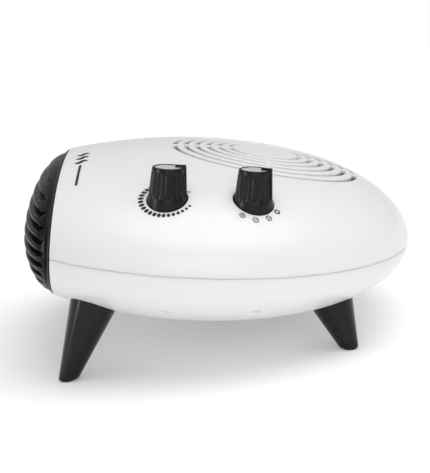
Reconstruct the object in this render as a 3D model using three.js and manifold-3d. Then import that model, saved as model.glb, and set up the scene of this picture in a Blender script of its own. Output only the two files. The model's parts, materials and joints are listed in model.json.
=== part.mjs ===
// A ceramic fan heater: a flat round pod on four splayed legs, with a domed outlet grille at the
// front (-Y), two upright dials on the right (+X) and a ring-slot air intake in the top at the back.
// Millimetres, +Z up. The pod's pieces are made in the pod's own frame, whose origin is the centre of
// the round body at its equator, and the pod is then tipped nose up and set on its legs.
import * as THREE from "three";
import { mergeVertices } from "three/addons/utils/BufferGeometryUtils.js";
import Module from "manifold-3d";

const wasm = await Module();
wasm.setup();

// Pod
const POD_RADIUS = 134;
const POD_RISE = 53;
const POD_DROP = 47.5;
const POD_FULLNESS = 2.3;
const WALL = 2.5;
const GAP = 0.3;
const FRONT_CUT = -85;
const NOSE_UP = THREE.MathUtils.degToRad(7);
const POD_HEIGHT = 67.7;
const POD_SHIFT = -12.4;
const POD_STEPS = 7;
const POD_SIDES = 40;

// Outlet
const BEZEL_FLANGE = 2;
const BEZEL_SLEEVE = 11;
const DOME_HALF_WIDTH = 101.5;
const DOME_RISE = 41.2;
const DOME_DROP = 36.8;
const DOME_DEPTH = 23.2;
const DOME_FULLNESS = 2.2;
const DOME_WALL = 2.4;
const SLAT_PITCH = 6.5;
const SLAT_SLOT = 2.4;
const SLAT_SLOTS = 11;

// Intake
const FAN_Y = 40.5;
const RING_OUTER = 57.5;
const RING_PITCH = 7.06;
const RING_COUNT = 6;
const RING_SLOT = 3;
const RING_BRIDGE = 2.6;

// Dials: upright axes through the sloping shell
const THERMOSTAT_AT = [97.3, -19];
const SELECTOR_AT = [94.8, 30.3];
const DIAL_HOLE = 11.95;
const KNOB_TOP = 55.5;
const KNOB_SKIRT_BOTTOM = 25;
const KNOB_SKIRT_RADIUS = 11.4;
const KNOB_FLARE = 38;
const KNOB_NECK = 42.5;
const KNOB_NECK_RADIUS = 10.2;
const KNOB_TOP_RADIUS = 9.1;
const CAP_RADIUS = 7.2;
const CAP_DEPTH = 1.2;
const POINTER_WIDTH = 1.6;
const THERMOSTAT_POINTER = 0;
const SELECTOR_POINTER = THREE.MathUtils.degToRad(20);
const SHAFT_RADIUS = 3;
const BRACKET_BOTTOM = 19;
const BRACKET_THICK = 1.2;
const BUSH_RADIUS = 4.5;
const BUSH_TOP = BRACKET_BOTTOM + 6;
const NUT_RADIUS = 7;
const NUT_THICK = 2.4;
const BRACKET_X = [82, 106];
const BRACKET_PAST_THERMOSTAT = 15;
const BRACKET_PAST_SELECTOR = 14;
const THERMOSTAT_BODY = [9.5, 13, 20];
const SELECTOR_BODY = [11, 11, 16];
const KNOB_BORE_TOP = KNOB_TOP - 6;

// Legs, in the room's frame: feet on the floor at z = 0
const FRONT_FOOT = [87, -83.7 + POD_SHIFT];
const REAR_FOOT = [70, 86.8 + POD_SHIFT];
const FRONT_SOCKET = [82, -61, -31];
const REAR_SOCKET = [63, 83, -31];
const FRONT_LEG_RADII = [5.4, 13.9];
const REAR_LEG_RADII = [5.2, 12.7];
const PAD_RADIUS = 4;
const PAD_THICK = 1.6;
const LEG_LIFT = 0.8;
const LEG_SCREW_RADIUS = 1.6;
const LEG_SCREW_HEAD = 3.6;
const LEG_SCREW_HEAD_THICK = 2.2;
const LEG_SCREW_DEPTH = 16;

// Cord inlet: turned round the tail to the side away from the dials, square to the shell
const INLET_AT = [0, 131.4, -10];
const INLET_SLOPE = THREE.MathUtils.degToRad(27);
const INLET_TURN = THREE.MathUtils.degToRad(20);
const INLET_BORE = 3.8;
const INLET_HOLE = 5.6;
const GLAND_RIM = 6.8;
const GLAND_PROUD = 3;
const CLAMP_HALF_WIDTH = 11;
const CLAMP_BACK = 106;
const CLAMP_FRONT = 98;
const CLAMP_BOTTOM = -20;
const CLAMP_THICK = 2.5;
const CLAMP_SCREW_X = 7.5;
const CLAMP_SCREW_RADIUS = 1.4;
const CLAMP_SCREW_HEAD = 2.9;
const CLAMP_SCREW_END = -26;
const CLAMP_POST_RADIUS = 3.6;

// Fan, motor, duct and element
const IMPELLER_RADIUS = 50;
const IMPELLER_BOTTOM = -8;
const IMPELLER_TOP = 27;
const BLADES = 18;
const DUCT_FLOOR = -14;
const DUCT_TOP = 31;
const DUCT_WALL = 2;
const DUCT_FAN_RADIUS = 59;
const DUCT_MOUTH = 76;
const HUB_RADIUS = 7;
const HUB_TOP = 12;
const BLADE_LENGTH = 12.5;
const BLADE_THICK = 1.4;
const BLADE_LEAN = 28;
const MOTOR_RADIUS = 19;
const MOTOR_BOTTOM = -38;
const MOTOR_TOP = -18.5;
const MOTOR_SHAFT_RADIUS = 2;
const MOTOR_PLATE_TOP = -16.4;
const MOTOR_PLATE_RADIUS = 15;
const MOTOR_ARM = [48, 5];
const MOTOR_ARM_TURNS = [30, 150, 270];
const MOTOR_EYE_AT = 43;
const ELEMENT_FRONT = -66;
const ELEMENT_BACK = -47;
const ELEMENT_HALF_WIDTH = 75;
const ELEMENT_BOTTOM = -16;
const ELEMENT_TOP = 30;
const ELEMENT_RAIL = 3;
const FIN_HEIGHT = 7.6;
const CERAMIC_HEIGHT = 2;
const FIN_WAVES = 12;
const FIN_THICK = 0.9;
const ELEMENT_LAYER = FIN_HEIGHT + CERAMIC_HEIGHT + 2 * GAP;
const ELEMENT_FIRST = ELEMENT_BOTTOM + ELEMENT_RAIL + GAP + 0.4;
const ELEMENT_END_GAP = 0.8;
const CUTOUT_AT = [44, -57];
const CUTOUT_RADIUS = 7;
const CUTOUT_TOP_RADIUS = 4.5;
const FUSE_AT = [-30, -57];
const FUSE_RADIUS = 2;
const FUSE_LENGTH = 12;
const TERMINAL_X = [-104, -88];
const TERMINAL_Y = [-8, 26];
const TERMINAL_Z = [-18, -6];
const TERMINAL_HOLES = [-2, 9, 20];

// Shell screws
const POST_X = 112;
const POST_YS = [-19, 33];
const POST_RADIUS = 4;
const WELL_RADIUS = 5;
const WELL_BORE = 3.6;
const SHELL_SCREW_RADIUS = 1.5;
const SHELL_SCREW_SEAT = -12;

const materials = {
  shell: new THREE.MeshStandardMaterial({ color: 0xe9ebee, roughness: 0.32, metalness: 0 }),
  black: new THREE.MeshStandardMaterial({ color: 0x1d1c1e, roughness: 0.4, metalness: 0 }),
  cap: new THREE.MeshStandardMaterial({ color: 0xc4c6c8, roughness: 0.25, metalness: 0.1 }),
  rubber: new THREE.MeshStandardMaterial({ color: 0x161616, roughness: 0.9, metalness: 0 }),
  steel: new THREE.MeshStandardMaterial({ color: 0xa8abae, roughness: 0.35, metalness: 1 }),
  aluminium: new THREE.MeshStandardMaterial({ color: 0xc8cacc, roughness: 0.4, metalness: 1 }),
  ceramic: new THREE.MeshStandardMaterial({ color: 0x6b6460, roughness: 0.8, metalness: 0 }),
  duct: new THREE.MeshStandardMaterial({ color: 0x2c2c2e, roughness: 0.6, metalness: 0 }),
  fan: new THREE.MeshStandardMaterial({ color: 0x303236, roughness: 0.5, metalness: 0 }),
  control: new THREE.MeshStandardMaterial({ color: 0xd8d2c0, roughness: 0.6, metalness: 0 }),
  brass: new THREE.MeshStandardMaterial({ color: 0xb89a4a, roughness: 0.35, metalness: 1 }),
};

// ---- solids ----

// A closed geometry as a solid that can be cut and joined.
function solid(geometry) {
  geometry.deleteAttribute("normal");
  geometry.deleteAttribute("uv");
  const merged = mergeVertices(geometry, 1e-4);
  return new wasm.Manifold(
    new wasm.Mesh({
      numProp: 3,
      vertProperties: merged.attributes.position.array,
      triVerts: new Uint32Array(merged.index.array),
    }),
  );
}

function geometryOf(body) {
  const mesh = body.getMesh();
  const geometry = new THREE.BufferGeometry();
  geometry.setAttribute("position", new THREE.BufferAttribute(mesh.vertProperties, 3));
  geometry.setIndex(new THREE.BufferAttribute(mesh.triVerts, 1));
  geometry.computeVertexNormals();
  return geometry;
}

function box(x0, x1, y0, y1, z0, z1) {
  const geometry = new THREE.BoxGeometry(x1 - x0, y1 - y0, z1 - z0);
  geometry.translate((x0 + x1) / 2, (y0 + y1) / 2, (z0 + z1) / 2);
  return solid(geometry);
}

// An upright cylinder.
function rod(x, y, z0, z1, radius, sides = 24) {
  const geometry = new THREE.CylinderGeometry(radius, radius, z1 - z0, sides);
  geometry.rotateX(Math.PI / 2);
  geometry.translate(x, y, (z0 + z1) / 2);
  return solid(geometry);
}

// A solid turned about the Z axis from [radius, height] points, listed upwards.
function turnedGeometry(profile, sides) {
  const points = profile.map(([radius, height]) => new THREE.Vector2(radius, height));
  const geometry = new THREE.LatheGeometry(points, sides);
  geometry.rotateX(Math.PI / 2);
  return geometry;
}

function turned(profile, sides = 32) {
  return solid(turnedGeometry(profile, sides));
}

// An outline in X and Y, drawn upwards from z0 to z1.
function prism(outline, z0, z1) {
  const shape = new THREE.Shape(outline.map(([x, y]) => new THREE.Vector2(x, y)));
  const geometry = new THREE.ExtrudeGeometry(shape, { depth: z1 - z0, bevelEnabled: false });
  geometry.translate(0, 0, z0);
  return solid(geometry);
}

// ---- the two frames ----

const heater = new THREE.Group();
const pod = new THREE.Group();
pod.rotation.x = -NOSE_UP;
pod.position.set(0, POD_SHIFT, POD_HEIGHT);
pod.updateMatrix();
heater.add(pod);

function addPart(group, name, body, material) {
  const mesh = new THREE.Mesh(geometryOf(body), material);
  mesh.name = name;
  group.add(mesh);
}

// A point of the pod's frame, in the room's frame.
function inRoom([x, y, z]) {
  return new THREE.Vector3(x, y, z).applyMatrix4(pod.matrix);
}

// ---- pod shells ----

// The round body's full volume, shrunk on every side by an inset.
function podProfile(inset) {
  const profile = [];
  for (let step = -POD_STEPS; step <= POD_STEPS; step += 1) {
    const angle = (step / POD_STEPS) * (Math.PI / 2);
    const radius = (POD_RADIUS - inset) * Math.cos(angle) ** (2 / POD_FULLNESS);
    const height = (step < 0 ? POD_DROP - inset : POD_RISE - inset) * Math.sin(angle);
    const onAxis = Math.abs(step) === POD_STEPS;
    profile.push([onAxis ? 0 : radius, height]);
  }
  return profile;
}

function podVolume(inset) {
  return turned(podProfile(inset), POD_SIDES);
}

function podShell(z0, z1) {
  const reach = POD_RADIUS + WALL;
  const half = box(-reach, reach, FRONT_CUT, reach, z0, z1);
  return podVolume(0).subtract(podVolume(WALL)).intersect(half);
}

// A flat ring about the fan's axis, tall enough to cut through the shell.
function ringCutter(radius) {
  const inner = radius - RING_SLOT / 2;
  const outer = radius + RING_SLOT / 2;
  const profile = [
    [inner, 20],
    [outer, 20],
    [outer, POD_RISE + 5],
    [inner, POD_RISE + 5],
    [inner, 20],
  ];
  const sides = Math.round(10 + radius / 6);
  return solid(turnedGeometry(profile, sides).translate(0, FAN_Y, 0));
}

function intakeCutter() {
  let cutter = ringCutter(RING_OUTER);
  for (let ring = 1; ring < RING_COUNT; ring += 1) {
    cutter = cutter.add(ringCutter(RING_OUTER - ring * RING_PITCH));
  }
  const reach = RING_OUTER + RING_PITCH;
  const half = RING_BRIDGE / 2;
  const lengthwise = box(-half, half, FAN_Y - reach, FAN_Y + reach, 0, POD_RISE + 9);
  const crosswise = box(-reach, reach, FAN_Y - half, FAN_Y + half, 0, POD_RISE + 9);
  return cutter.subtract(lengthwise).subtract(crosswise);
}

function upperShell() {
  let shell = podShell(GAP / 2, POD_RISE + 1);
  for (const y of POST_YS) {
    for (const x of [-POST_X, POST_X]) {
      const post = rod(x, y, GAP / 2, POD_RISE, POST_RADIUS, 12);
      shell = shell.add(post.intersect(podVolume(WALL / 2)));
      shell = shell.subtract(rod(x, y, -1, 15, SHELL_SCREW_RADIUS + GAP, 10));
    }
  }
  for (const [x, y] of [THERMOSTAT_AT, SELECTOR_AT]) {
    shell = shell.subtract(rod(x, y, 0, POD_RISE, DIAL_HOLE, 32));
  }
  return shell.subtract(intakeCutter());
}

function lowerShell() {
  let shell = podShell(-POD_DROP - 1, -GAP / 2);
  for (const y of POST_YS) {
    for (const x of [-POST_X, POST_X]) {
      const well = rod(x, y, -POD_DROP, -GAP / 2, WELL_RADIUS, 12);
      shell = shell.add(well.intersect(podVolume(WALL / 2)));
      shell = shell.subtract(rod(x, y, -POD_DROP, SHELL_SCREW_SEAT - 3, WELL_BORE, 12));
      shell = shell.subtract(rod(x, y, -POD_DROP, 1, SHELL_SCREW_RADIUS + GAP, 10));
    }
  }
  for (const leg of legs) {
    shell = shell.subtract(legBore(leg).applyToPod);
  }
  return shell.add(clampPosts()).subtract(clampHoles()).subtract(glandHole());
}

// ---- legs ----

const legs = [];
for (const [end, foot, socket, radii] of [
  ["front", FRONT_FOOT, FRONT_SOCKET, FRONT_LEG_RADII],
  ["rear", REAR_FOOT, REAR_SOCKET, REAR_LEG_RADII],
]) {
  for (const [side, sign] of [
    ["right", 1],
    ["left", -1],
  ]) {
    const from = new THREE.Vector3(sign * foot[0], foot[1], 0);
    const to = inRoom([sign * socket[0], socket[1], socket[2]]);
    const turn = new THREE.Quaternion();
    turn.setFromUnitVectors(new THREE.Vector3(0, 0, 1), to.clone().sub(from).normalize());
    const placed = new THREE.Matrix4().compose(from, turn, new THREE.Vector3(1, 1, 1));
    legs.push({ name: end + "_" + side, placed, length: from.distanceTo(to), radii });
  }
}

// A profile turned about a leg's axis, whose zero is at the floor.
function alongLeg(leg, profile, sides = 24) {
  return solid(turnedGeometry(profile, sides).applyMatrix4(leg.placed));
}

// The screw hole of a leg, once in the room's frame and once in the pod's.
function legBore(leg) {
  const radius = LEG_SCREW_RADIUS + GAP;
  const profile = [
    [0, leg.length - LEG_SCREW_DEPTH - 2],
    [radius, leg.length - LEG_SCREW_DEPTH - 2],
    [radius, leg.length + 20],
    [0, leg.length + 20],
  ];
  const geometry = turnedGeometry(profile, 10).applyMatrix4(leg.placed);
  const toPod = pod.matrix.clone().invert();
  return {
    inRoom: solid(geometry.clone()),
    applyToPod: solid(geometry.applyMatrix4(toPod)),
  };
}

function podInRoom(inset) {
  return solid(turnedGeometry(podProfile(inset), POD_SIDES).applyMatrix4(pod.matrix));
}

function legBody(leg) {
  const [footRadius, topRadius] = leg.radii;
  const slope = (topRadius - footRadius) / leg.length;
  const under = 6;
  const over = 9;
  const cone = alongLeg(leg, [
    [0, -under],
    [footRadius - slope * under, -under],
    [topRadius + slope * over, leg.length + over],
    [0, leg.length + over],
  ]);
  const [x, y] = new THREE.Vector3().setFromMatrixPosition(leg.placed).toArray();
  const recess = rod(x, y, -1, PAD_THICK + GAP, PAD_RADIUS + GAP, 20);
  return cone
    .subtract(podInRoom(-GAP))
    .subtract(box(-200, 200, -200, 200, -20, LEG_LIFT))
    .subtract(recess)
    .subtract(legBore(leg).inRoom);
}

function legScrew(leg) {
  const seat = leg.length + WALL + 3.2;
  return alongLeg(
    leg,
    [
      [0, leg.length - LEG_SCREW_DEPTH],
      [LEG_SCREW_RADIUS, leg.length - LEG_SCREW_DEPTH],
      [LEG_SCREW_RADIUS, seat],
      [LEG_SCREW_HEAD, seat],
      [LEG_SCREW_HEAD, seat + LEG_SCREW_HEAD_THICK],
      [0, seat + LEG_SCREW_HEAD_THICK],
    ],
    12,
  );
}

function footPad(leg) {
  const [x, y] = new THREE.Vector3().setFromMatrixPosition(leg.placed).toArray();
  return rod(x, y, 0, PAD_THICK, PAD_RADIUS, 20);
}

for (const leg of legs) {
  addPart(heater, "leg_" + leg.name, legBody(leg), materials.black);
  addPart(heater, "leg_screw_" + leg.name, legScrew(leg), materials.steel);
  addPart(heater, "foot_pad_" + leg.name, footPad(leg), materials.rubber);
}

// ---- cord inlet at the tail, square to the shell where it comes out ----

// A profile turned about the inlet's axis, which points out of the tail; its zero is the shell's outside.
function alongInlet(profile, sides = 20) {
  const geometry = turnedGeometry(profile, sides);
  geometry.rotateX(-Math.PI / 2 - INLET_SLOPE);
  geometry.translate(...INLET_AT);
  return solid(geometry.rotateZ(INLET_TURN));
}

function glandHole() {
  return alongInlet([
    [0, -12],
    [INLET_HOLE, -12],
    [INLET_HOLE, 9],
    [0, 9],
  ]);
}

// A grommet gripping the edge of the shell between an inner collar and an outer rim.
function cordGland() {
  const waist = INLET_HOLE - GAP;
  return alongInlet([
    [INLET_BORE, -6],
    [GLAND_RIM - 0.2, -6],
    [GLAND_RIM - 0.2, -4.4],
    [waist, -4.4],
    [waist, 0.9],
    [GLAND_RIM, 0.9],
    [GLAND_RIM - 0.6, GLAND_PROUD],
    [INLET_BORE, GLAND_PROUD],
    [INLET_BORE, -6],
  ]);
}

addPart(pod, "upper_shell", upperShell(), materials.shell);
addPart(pod, "lower_shell", lowerShell(), materials.shell);
addPart(pod, "cord_gland", cordGland(), materials.black);

function clampTurned(body) {
  return body.rotate([0, 0, THREE.MathUtils.radToDeg(INLET_TURN)]);
}

function clampRod(x, z0, z1, radius) {
  return rod(x, (CLAMP_FRONT + CLAMP_BACK) / 2, z0, z1, radius, 12);
}

// The posts that rise from the belly under the clamp, and the holes down them for its screws.
function clampPosts() {
  const left = clampRod(-CLAMP_SCREW_X, -POD_DROP, CLAMP_BOTTOM - GAP, CLAMP_POST_RADIUS);
  const right = clampRod(CLAMP_SCREW_X, -POD_DROP, CLAMP_BOTTOM - GAP, CLAMP_POST_RADIUS);
  return clampTurned(left.add(right)).intersect(podVolume(WALL / 2));
}

function clampHoles() {
  const radius = CLAMP_SCREW_RADIUS + GAP;
  const end = CLAMP_SCREW_END - GAP;
  const left = clampRod(-CLAMP_SCREW_X, end, 0, radius);
  return clampTurned(left.add(clampRod(CLAMP_SCREW_X, end, 0, radius)));
}

function cordClamp() {
  const top = CLAMP_BOTTOM + CLAMP_THICK;
  const half = CLAMP_HALF_WIDTH;
  return clampTurned(box(-half, half, CLAMP_FRONT, CLAMP_BACK, CLAMP_BOTTOM, top)).subtract(clampHoles());
}

function clampScrew(x) {
  const seat = CLAMP_BOTTOM + CLAMP_THICK + GAP;
  const shank = clampRod(x, CLAMP_SCREW_END, seat + 1, CLAMP_SCREW_RADIUS);
  return clampTurned(shank.add(clampRod(x, seat, seat + 1.7, CLAMP_SCREW_HEAD)));
}

addPart(pod, "cord_clamp", cordClamp(), materials.duct);
addPart(pod, "clamp_screw_left", clampScrew(-CLAMP_SCREW_X), materials.steel);
addPart(pod, "clamp_screw_right", clampScrew(CLAMP_SCREW_X), materials.steel);

function shellScrew(x, y) {
  return turned(
    [
      [0, SHELL_SCREW_SEAT - 5.2],
      [2.9, SHELL_SCREW_SEAT - 5.2],
      [2.9, SHELL_SCREW_SEAT - 3 - GAP],
      [SHELL_SCREW_RADIUS, SHELL_SCREW_SEAT - 3 - GAP],
      [SHELL_SCREW_RADIUS, 13],
      [0, 13],
    ],
    12,
  ).translate([x, y, 0]);
}

for (const [end, y] of [
  ["front", POST_YS[0]],
  ["rear", POST_YS[1]],
]) {
  addPart(pod, "shell_screw_" + end + "_right", shellScrew(POST_X, y), materials.steel);
  addPart(pod, "shell_screw_" + end + "_left", shellScrew(-POST_X, y), materials.steel);
}

// ---- outlet ----

function slab(y0, y1) {
  return box(-200, 200, y0, y1, -100, 100);
}

function outletBezel() {
  const flange = podVolume(0.4).intersect(slab(FRONT_CUT - GAP - BEZEL_FLANGE, FRONT_CUT - GAP));
  const sleeve = podVolume(WALL + GAP).intersect(slab(FRONT_CUT - GAP - 0.1, FRONT_CUT + BEZEL_SLEEVE));
  return flange.add(sleeve).subtract(podVolume(WALL + GAP + 2).intersect(slab(-130, 0)));
}

// The grille's dome: a full, rounded bulge standing forward of the bezel.
function dome(inset) {
  const geometry = new THREE.SphereGeometry(1, 24, 12);
  const place = geometry.getAttribute("position");
  for (let index = 0; index < place.count; index += 1) {
    const [x, y, z] = [place.getX(index), place.getY(index), place.getZ(index)];
    const spread = Math.hypot(x, z);
    const swell = spread > 0 ? spread ** (2 / DOME_FULLNESS - 1) : 0;
    const height = (z > 0 ? DOME_RISE : DOME_DROP) - inset;
    place.setX(index, x * swell * (DOME_HALF_WIDTH - inset));
    place.setY(index, FRONT_CUT - GAP + y * (DOME_DEPTH - inset));
    place.setZ(index, z * swell * height);
  }
  return solid(geometry);
}

function outletGrille() {
  const back = FRONT_CUT - GAP - BEZEL_FLANGE - GAP;
  let grille = dome(0).subtract(dome(DOME_WALL)).intersect(slab(-130, back));
  const middle = (DOME_RISE - DOME_DROP) / 2;
  const halfHeight = (DOME_RISE + DOME_DROP) / 2;
  for (let slot = 0; slot < SLAT_SLOTS; slot += 1) {
    const offset = (slot - (SLAT_SLOTS - 1) / 2) * SLAT_PITCH;
    const z = middle + offset;
    const reach = DOME_HALF_WIDTH * Math.sqrt(1 - ((Math.abs(offset) + 2) / halfHeight) ** 2) - 6;
    grille = grille.subtract(box(-reach, reach, -130, back - 3, z - SLAT_SLOT / 2, z + SLAT_SLOT / 2));
  }
  for (const x of [-52, 0, 52]) {
    const rib = dome(DOME_WALL - 0.6).intersect(box(x - 1.2, x + 1.2, -130, back, -60, 60));
    grille = grille.add(rib.subtract(dome(DOME_WALL + 2.5)));
  }
  return grille;
}

addPart(pod, "outlet_bezel", outletBezel(), materials.black);
addPart(pod, "outlet_grille", outletGrille(), materials.black);

// ---- dials ----

// A knob: its plain working shape, with a pointer fin on one side and a recess in its top for the cap.
function knob([x, y], pointer) {
  const body = turned([
    [0, KNOB_SKIRT_BOTTOM],
    [KNOB_SKIRT_RADIUS, KNOB_SKIRT_BOTTOM],
    [KNOB_SKIRT_RADIUS, KNOB_FLARE],
    [KNOB_NECK_RADIUS, KNOB_NECK],
    [KNOB_TOP_RADIUS, KNOB_TOP - 0.7],
    [KNOB_TOP_RADIUS - 0.7, KNOB_TOP],
    [0, KNOB_TOP],
  ]);
  const fin = box(-POINTER_WIDTH / 2, POINTER_WIDTH / 2, 6, KNOB_NECK_RADIUS + 0.9, KNOB_NECK, KNOB_TOP);
  const bore = rod(0, 0, KNOB_SKIRT_BOTTOM - 1, KNOB_BORE_TOP, SHAFT_RADIUS + GAP, 16);
  const recess = rod(0, 0, KNOB_TOP - CAP_DEPTH, KNOB_TOP + 1, CAP_RADIUS + GAP, 28);
  const made = body.add(fin).subtract(bore).subtract(recess);
  return made.rotate([0, 0, -THREE.MathUtils.radToDeg(pointer)]).translate([x, y, 0]);
}

function knobCap([x, y]) {
  return rod(x, y, KNOB_TOP - CAP_DEPTH + GAP, KNOB_TOP + 0.2, CAP_RADIUS, 28);
}

function dialShaft([x, y]) {
  return rod(x, y, BUSH_TOP + 0.6, KNOB_BORE_TOP - GAP, SHAFT_RADIUS, 16);
}

// The body of a control, with the threaded bush that comes up through the bracket.
function controlBody([x, y], [halfX, halfY, depth]) {
  const top = BRACKET_BOTTOM - GAP;
  const body = box(x - halfX, x + halfX, y - halfY, y + halfY, top - depth, top);
  return body.add(rod(x, y, top - 1, BUSH_TOP, BUSH_RADIUS, 20));
}

function bushHole([x, y]) {
  return rod(x, y, 0, POD_RISE, BUSH_RADIUS + GAP, 20);
}

function controlNut([x, y]) {
  const seat = BRACKET_BOTTOM + BRACKET_THICK + GAP;
  return rod(x, y, seat, seat + NUT_THICK, NUT_RADIUS, 6).subtract(bushHole([x, y]));
}

function controlBracket() {
  const front = THERMOSTAT_AT[1] - BRACKET_PAST_THERMOSTAT;
  const rear = SELECTOR_AT[1] + BRACKET_PAST_SELECTOR;
  const plate = box(...BRACKET_X, front, rear, BRACKET_BOTTOM, BRACKET_BOTTOM + BRACKET_THICK);
  return plate.subtract(bushHole(THERMOSTAT_AT)).subtract(bushHole(SELECTOR_AT));
}

for (const [name, at, pointer, size] of [
  ["thermostat", THERMOSTAT_AT, THERMOSTAT_POINTER, THERMOSTAT_BODY],
  ["selector", SELECTOR_AT, SELECTOR_POINTER, SELECTOR_BODY],
]) {
  addPart(pod, name + "_knob", knob(at, pointer), materials.black);
  addPart(pod, name + "_knob_cap", knobCap(at), materials.cap);
  addPart(pod, name + "_shaft", dialShaft(at), materials.brass);
  addPart(pod, name + "_body", controlBody(at, size), materials.control);
  addPart(pod, name + "_nut", controlNut(at), materials.steel);
}
addPart(pod, "control_bracket", controlBracket(), materials.steel);

// ---- fan, motor and duct ----

// One straight blade at the edge of the wheel, leaning back from the way it turns.
function blade(turn) {
  const tip = IMPELLER_RADIUS - 0.5;
  const strip = box(
    tip - BLADE_LENGTH,
    tip,
    -BLADE_THICK / 2,
    BLADE_THICK / 2,
    IMPELLER_BOTTOM + 1,
    IMPELLER_TOP - 1,
  );
  const leaning = strip.translate([-IMPELLER_RADIUS, 0, 0]).rotate([0, 0, BLADE_LEAN]);
  return leaning.translate([IMPELLER_RADIUS, -1, 0]).rotate([0, 0, turn]);
}

function impeller() {
  let wheel = rod(0, 0, IMPELLER_BOTTOM, IMPELLER_BOTTOM + 2, IMPELLER_RADIUS, 36);
  wheel = wheel.add(rod(0, 0, IMPELLER_BOTTOM, HUB_TOP, HUB_RADIUS, 20));
  const rim = rod(0, 0, IMPELLER_TOP - 2, IMPELLER_TOP, IMPELLER_RADIUS, 36);
  wheel = wheel.add(rim.subtract(rod(0, 0, 0, 60, IMPELLER_RADIUS - 7, 36)));
  for (let index = 0; index < BLADES; index += 1) {
    wheel = wheel.add(blade((360 / BLADES) * index));
  }
  wheel = wheel.intersect(rod(0, 0, -60, 60, IMPELLER_RADIUS, 36));
  wheel = wheel.subtract(rod(0, 0, -60, 60, MOTOR_SHAFT_RADIUS + GAP, 12));
  return wheel.translate([0, FAN_Y, 0]);
}

// The duct's plan: round behind the fan, then widening forward to the heating element.
function ductOutline(inset) {
  const radius = DUCT_FAN_RADIUS - inset;
  const mouth = DUCT_MOUTH - inset;
  const outline = [
    [-mouth, ELEMENT_BACK + GAP],
    [mouth, ELEMENT_BACK + GAP],
  ];
  for (let step = 0; step <= 20; step += 1) {
    const angle = (step / 20) * Math.PI;
    outline.push([radius * Math.cos(angle), FAN_Y + radius * Math.sin(angle)]);
  }
  return outline;
}

function ductTray() {
  const outer = prism(ductOutline(0), DUCT_FLOOR, DUCT_TOP - DUCT_WALL - GAP);
  const inner = prism(ductOutline(DUCT_WALL), DUCT_FLOOR + DUCT_WALL, DUCT_TOP + 5);
  const mouth = box(
    -DUCT_MOUTH + DUCT_WALL,
    DUCT_MOUTH - DUCT_WALL,
    ELEMENT_BACK - 5,
    ELEMENT_BACK + 5,
    DUCT_FLOOR + DUCT_WALL,
    60,
  );
  return outer.subtract(inner).subtract(mouth).subtract(rod(0, FAN_Y, -30, 0, 6, 20));
}

function ductCover() {
  const plate = prism(ductOutline(0), DUCT_TOP - DUCT_WALL, DUCT_TOP);
  return plate.subtract(rod(0, FAN_Y, 0, 60, IMPELLER_RADIUS - 4, 32));
}

function fanMotor() {
  const can = rod(0, FAN_Y, MOTOR_BOTTOM, MOTOR_TOP, MOTOR_RADIUS, 32);
  return can.subtract(rod(0, FAN_Y, -30, 0, MOTOR_SHAFT_RADIUS + GAP, 12));
}

function motorShaft() {
  return rod(0, FAN_Y, -29, HUB_TOP + 4, MOTOR_SHAFT_RADIUS, 12);
}

function motorBracket() {
  const bottom = MOTOR_TOP + GAP;
  const [reach, halfWidth] = MOTOR_ARM;
  let plate = rod(0, 0, bottom, MOTOR_PLATE_TOP, MOTOR_PLATE_RADIUS, 28);
  for (const turn of MOTOR_ARM_TURNS) {
    const arm = box(0, reach, -halfWidth, halfWidth, bottom, MOTOR_PLATE_TOP);
    plate = plate.add(arm.rotate([0, 0, turn]));
    const eye = rod(MOTOR_EYE_AT, 0, -30, 0, 1.9, 10);
    plate = plate.subtract(eye.rotate([0, 0, turn]));
  }
  return plate.subtract(rod(0, 0, -30, 0, 5, 20)).translate([0, FAN_Y, 0]);
}

addPart(pod, "fan_impeller", impeller(), materials.fan);
addPart(pod, "motor_shaft", motorShaft(), materials.steel);
addPart(pod, "duct_tray", ductTray(), materials.duct);
addPart(pod, "duct_cover", ductCover(), materials.duct);
addPart(pod, "fan_motor", fanMotor(), materials.steel);
addPart(pod, "motor_bracket", motorBracket(), materials.steel);

// ---- ceramic heating element ----

function elementFrame() {
  const frame = box(
    -ELEMENT_HALF_WIDTH,
    ELEMENT_HALF_WIDTH,
    ELEMENT_FRONT,
    ELEMENT_BACK,
    ELEMENT_BOTTOM,
    ELEMENT_TOP,
  );
  const opening = box(
    -ELEMENT_HALF_WIDTH + ELEMENT_RAIL,
    ELEMENT_HALF_WIDTH - ELEMENT_RAIL,
    ELEMENT_FRONT - 1,
    ELEMENT_BACK + 1,
    ELEMENT_BOTTOM + ELEMENT_RAIL,
    ELEMENT_TOP - ELEMENT_RAIL,
  );
  return frame.subtract(opening);
}

// A folded strip of aluminium: a zigzag outline in X and Z, as deep as the element.
function finPack(z0) {
  const half = ELEMENT_HALF_WIDTH - ELEMENT_RAIL - ELEMENT_END_GAP;
  const steps = FIN_WAVES * 2;
  const lower = [];
  const upper = [];
  for (let step = 0; step <= steps; step += 1) {
    const x = -half + (2 * half * step) / steps;
    const z = step % 2 === 0 ? z0 : z0 + FIN_HEIGHT - FIN_THICK;
    lower.push([x, z]);
    upper.unshift([x, z + FIN_THICK]);
  }
  const strip = new THREE.Shape([...lower, ...upper].map(([x, z]) => new THREE.Vector2(x, z)));
  const depth = ELEMENT_BACK - ELEMENT_FRONT - 3;
  const geometry = new THREE.ExtrudeGeometry(strip, { depth, bevelEnabled: false });
  geometry.rotateX(Math.PI / 2);
  geometry.translate(0, ELEMENT_BACK - 1.5, 0);
  return solid(geometry);
}

function ceramicBar(z0) {
  const half = ELEMENT_HALF_WIDTH - ELEMENT_RAIL - ELEMENT_END_GAP;
  return box(-half, half, ELEMENT_FRONT + 2.5, ELEMENT_BACK - 2.5, z0, z0 + CERAMIC_HEIGHT);
}

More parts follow.
